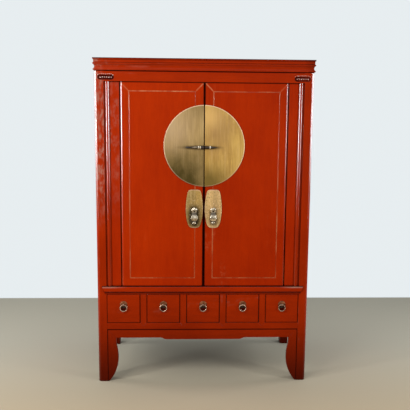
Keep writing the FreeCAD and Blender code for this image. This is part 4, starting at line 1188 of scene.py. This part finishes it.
def spindle(name, profile, material, body):
    """A turned piece along X, from (x, radius) pairs in millimetres."""
    start = profile[0][0] * MM
    spots = [(x * MM - start, radius * MM) for x, radius in profile]
    return turned(name, spots, (start, LOCK_Y, LOCK_Z), (1, 0, 0), material, body, 28)


BOLT_PROFILE = (
    (-101, 0.5), (-97, 2.0), (-94, 4.0), (-92.5, 4.6), (-91, 3.8), (-89.5, 3.2), (-88, 4.2), (-86, 5.0),
    (-84, 4.4), (-82, 3.6), (-66, 3.6), (-64, 4.0), (-1.5, 4.0), (0, 3.2),
)
KEEPER_PROFILE = (
    (26, 0.5), (26, 4.3), (4, 4.3), (4, 6.0), (5, 6.2), (9, 5.2), (20, 4.8), (26, 5.6),
    (28, 6.1), (36, 6.1), (38, 4.4), (41, 5.4), (44, 4.2), (56, 2.8), (66, 1.3), (72, 0.4),
)
BARREL_PROFILE = (
    (-64, 4.6), (-63.5, 6.4), (-61, 7.4), (-58.5, 6.4), (-57, 6.0), (-45, 6.0), (-43.5, 6.4), (-41, 7.4),
    (-38.5, 6.4), (-38, 4.6),
)
GUIDE_PROFILE = ((-17, 5.0), (-16.5, 7.6), (-14, 8.4), (-7, 8.4), (-4.5, 7.6), (-4, 5.0))
for name, profile, material, slot, body, solid in (
    ("bolt_spindle", BOLT_PROFILE, iron, "dark_iron", "lock_bolt", "lock_bolt"),
    ("keeper_spindle", KEEPER_PROFILE, iron, "dark_iron", "right_door", "lock_keeper"),
    ("bolt_barrel", BARREL_PROFILE, barrel_brass, "aged_brass", "left_door", None),
    ("bolt_guide", GUIDE_PROFILE, iron, "dark_iron", "left_door", None),
):
    piece = spindle(name, profile, material, body)
    if solid:
        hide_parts(solid)
EYE_REACH = 8.4
for name, x, opening, body in (
    ("bolt_eye_inner", -21.5, 4.4, "left_door"),
    ("bolt_eye_outer", -31, 4.4, "left_door"),
    ("keeper_eye", 31, 6.2, "right_door"),
):
    eye = staple(
        name, x * MM, LOCK_Y, LOCK_Z, opening * MM, (EYE_REACH - opening) * MM, 6.4 * MM,
        DOOR_FACE + 11 * MM, 0.5 * MM, eye_brass, body,
    )
print(f"the bolt lies {LOCK_Z:.3f} m above the floor")


# %% [markdown]
# ## Carving over the posts
#
# The frieze rail has a sunk oblong over each post, with round ends. The solid already has the hollow. A thin
# dark plate laid on its floor paints the shade in the hollow, and the right one is a little redder.

# %% The ground of a carving
frieze_low, frieze_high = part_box("frieze_rail")
FRONT_PLANE = frieze_low.y
CARVING_LENGTH, CARVING_WIDTH, CARVING_DEPTH = 86 * MM, 27 * MM, 4 * MM
CARVING_HEIGHT = (frieze_low.z + frieze_high.z) / 2 - 5.5 * MM
CARVING_MIDDLE = frieze_high.x + 31 * MM - CARVING_LENGTH / 2
SUNK_LEVEL = FRONT_PLANE + CARVING_DEPTH
GROUND_SHADE_REDS = {
    "left": ((0.032, 0.0020, 0.0008), (0.080, 0.0050, 0.0015)),
    "right": ((0.050, 0.0035, 0.0010), (0.120, 0.0080, 0.0020)),
}


def carving_shade(name, deep, bright):
    """Painted shade: dark lacquer for the floor of a hollow."""
    finish = Finish(name)
    red = finish.mix(finish.noise(60.0).step(0.3, 0.7), paint(deep), paint(bright))
    return finish.set(Base_Color=red, Roughness=0.8, Specular_IOR_Level=0.05)


def lay_ground(side, middle):
    """The thin dark plate of painted shade on the floor of one oblong."""
    radius = CARVING_WIDTH / 2 - 0.4 * MM
    run = (CARVING_LENGTH - CARVING_WIDTH) / 2
    outline = arc((middle + run, CARVING_HEIGHT), radius, -90, 90, 16)
    outline += arc((middle - run, CARVING_HEIGHT), radius, 90, 270, 16)
    ground = carving_shade(f"{side}_carving_shade", *GROUND_SHADE_REDS[side])
    levels = SUNK_LEVEL - 0.3 * MM, SUNK_LEVEL
    bed = slab(f"{side}_carving_shade", outline, *levels, ground, "cabinet", 0.1 * MM)


print(f"carving {CARVING_LENGTH / MM:.0f} x {CARVING_WIDTH / MM:.0f} mm, {CARVING_DEPTH / MM:.0f} mm deep")


# %% [markdown]
# ## Pearls and scallops
#
# On each ground lies a row of pearls, six small domes along its middle. The nine scallops are much flatter
# domes on the face of the rail, along the upper edge of the oblong, and the outer ones follow its round ends
# downwards. Both are painted in a much paler lacquer, a painted highlight, with pale scuffs over it.

# %% Grounds, pearls and scallops
PEARLS, PEARL_RADIUS, PEARL_HEIGHT = 6, 3.2 * MM, 3.6 * MM
SCALLOPS, SCALLOP_RADIUS, SCALLOP_HEIGHT = 9, 2.6 * MM, 0.9 * MM
# Painted highlight: pearls and scallops are far paler than the lacquer round them.
pearl_highlight_red = lacquer("pearl_highlight_lacquer", (0.55, 0.18, 0.12), (0.90, 0.58, 0.48), scuffs=0.9)
scallop_highlight_red = lacquer("scallop_highlight_lacquer", (0.42, 0.09, 0.05), (0.72, 0.30, 0.20), scuffs=0.9)


def dome(name, x, z, level, radius, height, material):
    """A small rounded bead that stands up from a level face."""
    angles = [math.radians(15 * step) for step in range(6)]
    profile = [(math.sin(angle) * height, math.cos(angle) * radius) for angle in angles]
    bead = turned(name, profile, (x, level, z), (0, -1, 0), material, "cabinet", 16)


def spread(count):
    """Even steps from -1 to 1."""
    return [2 * index / (count - 1) - 1 for index in range(count)]


pearl_run = CARVING_LENGTH * 0.40 * (PEARLS - 1) / PEARLS
scallop_run = CARVING_LENGTH / 2 - 4 * MM
scallop_level = CARVING_HEIGHT + CARVING_WIDTH / 2 + 3.2 * MM
for side, middle in (("left", -CARVING_MIDDLE), ("right", CARVING_MIDDLE)):
    lay_ground(side, middle)
    for index, along in enumerate(spread(PEARLS)):
        spot = middle + along * pearl_run, CARVING_HEIGHT, SUNK_LEVEL
        dome(f"{side}_pearl_{index}", *spot, PEARL_RADIUS, PEARL_HEIGHT, pearl_highlight_red)
    for index, along in enumerate(spread(SCALLOPS)):
        fall = max(0.0, abs(along) - 0.75) * 18 * MM
        spot = middle + along * scallop_run, scallop_level - fall, FRONT_PLANE
        dome(f"{side}_scallop_{index}", *spot, SCALLOP_RADIUS, SCALLOP_HEIGHT, scallop_highlight_red)
print(f"{2 * PEARLS} pearls, one every {2 * pearl_run / (PEARLS - 1) / MM:.1f} mm, {2 * SCALLOPS} scallops")


# %% [markdown]
# ## Floor and wall
#
# A pale, matt floor turns into the wall's colour where a wall would stand. Seen directly, the far
# part glows evenly in that colour, so the wall has no gradient. It still takes light as a floor, so
# the cabinet keeps its shadow. The floor is warmer in front than behind.

# %% Floor and wall
WALL_Y = 1.27
WALL_COLOUR = (0.80, 0.85, 0.87, 1)
FRONT_FLOOR = (0.420, 0.320, 0.197, 1)
BACK_FLOOR = (0.375, 0.342, 0.268, 1)
ROOM = 8.0


def pale_floor():
    finish = Finish("pale_floor")
    beyond = finish.axis("Y").step(WALL_Y - 0.01, WALL_Y + 0.02)
    ground = finish.mix(finish.axis("Y").step(-1.2, 0.4), FRONT_FLOOR, BACK_FLOOR)
    finish.set(Base_Color=finish.mix(beyond, ground, WALL_COLOUR), Roughness=0.8, Specular_IOR_Level=0.1)
    lit = Value(finish, finish.shader.outputs[0])
    glow = finish.node("ShaderNodeEmission", {}, {"Color": WALL_COLOUR})
    both = finish.node("ShaderNodeMixShader", {}, {0: beyond * finish.seen_directly(), 1: lit, 2: glow})
    finish.feed(finish.tree.nodes["Material Output"].inputs["Surface"], both)
    return finish.material


corners = [(-ROOM, -ROOM, 0), (ROOM, -ROOM, 0), (ROOM, ROOM, 0), (-ROOM, ROOM, 0)]
mesh = bpy.data.meshes.new("floor")
mesh.from_pydata(corners, [], [(0, 1, 2, 3)])
mesh.materials.append(pale_floor())
floor = bpy.data.objects.new("floor", mesh)
bpy.context.collection.objects.link(floor)


# %% [markdown]
# ## Light
#
# A soft key light stands high on the left and a weaker, wider fill on the right. Two tall narrow
# windows in front and two strips beside the cabinet draw the bright lines along its rounded edges.
# Most of the light comes from the room itself, as it does between white walls.

# %% Lights
def area_light(name, place, target, width, height, power, colour):
    light = bpy.data.lights.new(name, "AREA")
    light.shape = "RECTANGLE"
    light.size = width
    light.size_y = height
    light.energy = power
    light.color = colour
    lamp = bpy.data.objects.new(name, light)
    lamp.location = place
    lamp.rotation_euler = (Vector(target) - Vector(place)).to_track_quat("-Z", "Y").to_euler()
    bpy.context.collection.objects.link(lamp)


COOL, NEUTRAL = (0.92, 0.97, 1.0), (1.0, 0.99, 0.97)
ROOM_COLOUR, ROOM_STRENGTH = (0.86, 0.93, 1.0, 1), 0.58
area_light("key", (-2.3, -2.7, 3.2), (0, -0.2, 1.1), 1.7, 1.3, 60, NEUTRAL)
area_light("fill", (2.8, -3.2, 2.6), (0, 0, 0.9), 2.4, 2.4, 20, COOL)
area_light("left_window", (-2.6, -1.6, 1.5), (-0.5, -0.25, 1.2), 0.30, 2.0, 40, COOL)
area_light("right_window", (2.6, -1.6, 1.5), (0.5, -0.25, 1.2), 0.30, 2.0, 26, COOL)
area_light("left_strip", (-2.3, 0.15, 1.65), (0, -0.1, 1.4), 0.5, 1.5, 22, COOL)
area_light("right_strip", (2.3, 0.15, 1.65), (0, -0.1, 1.4), 0.5, 1.5, 20, COOL)

world = bpy.data.worlds.new("studio")
world.use_nodes = True
bpy.context.scene.world = world
sky = Web(world.node_tree)
room = sky.node("ShaderNodeBackground", {}, {"Color": ROOM_COLOUR, "Strength": ROOM_STRENGTH})
wall = sky.node("ShaderNodeBackground", {}, {"Color": WALL_COLOUR})
both = sky.node("ShaderNodeMixShader", {}, {0: sky.seen_directly(), 1: room, 2: wall})
sky.feed(world.node_tree.nodes["World Output"].inputs["Surface"], both)
print(f"{len(bpy.data.lights)} lamps")


# %% [markdown]
# ## Camera
#
# The camera was found by fitting the photo's straight edges: posts, rails and doors, whose real
# lines are level or upright. That gives the focal length in pixels, three angles, and a place,
# measured here from the plane of the cabinet's front.

# %% Camera
IMAGE_WIDTH_PX = 410
FOCAL_PX = 544.4
EYE = Vector((-0.0876, FRONT_PLANE - 2.8896, 1.3625))
PAN, TILT, ROLL = (math.radians(angle) for angle in (1.863, -7.368, 0.459))

forward = Vector((math.sin(PAN) * math.cos(TILT), math.cos(PAN) * math.cos(TILT), math.sin(TILT)))
level = Vector((math.cos(PAN), -math.sin(PAN), 0))
upright = level.cross(forward)
right = level * math.cos(ROLL) + upright * math.sin(ROLL)
up = upright * math.cos(ROLL) - level * math.sin(ROLL)
lens = bpy.data.cameras.new("camera")
lens.sensor_width = 36  # millimetres
lens.lens = FOCAL_PX / IMAGE_WIDTH_PX * lens.sensor_width
camera = bpy.data.objects.new("camera", lens)
camera.matrix_world = Matrix.Translation(EYE) @ Matrix((right, up, -forward)).transposed().to_4x4()
bpy.context.collection.objects.link(camera)
bpy.context.scene.camera = camera
bpy.context.scene.view_settings.view_transform = "Standard"
print(f"lens {lens.lens:.1f} mm, {FRONT_PLANE - EYE.y:.2f} m in front of the cabinet")


# %% [markdown]
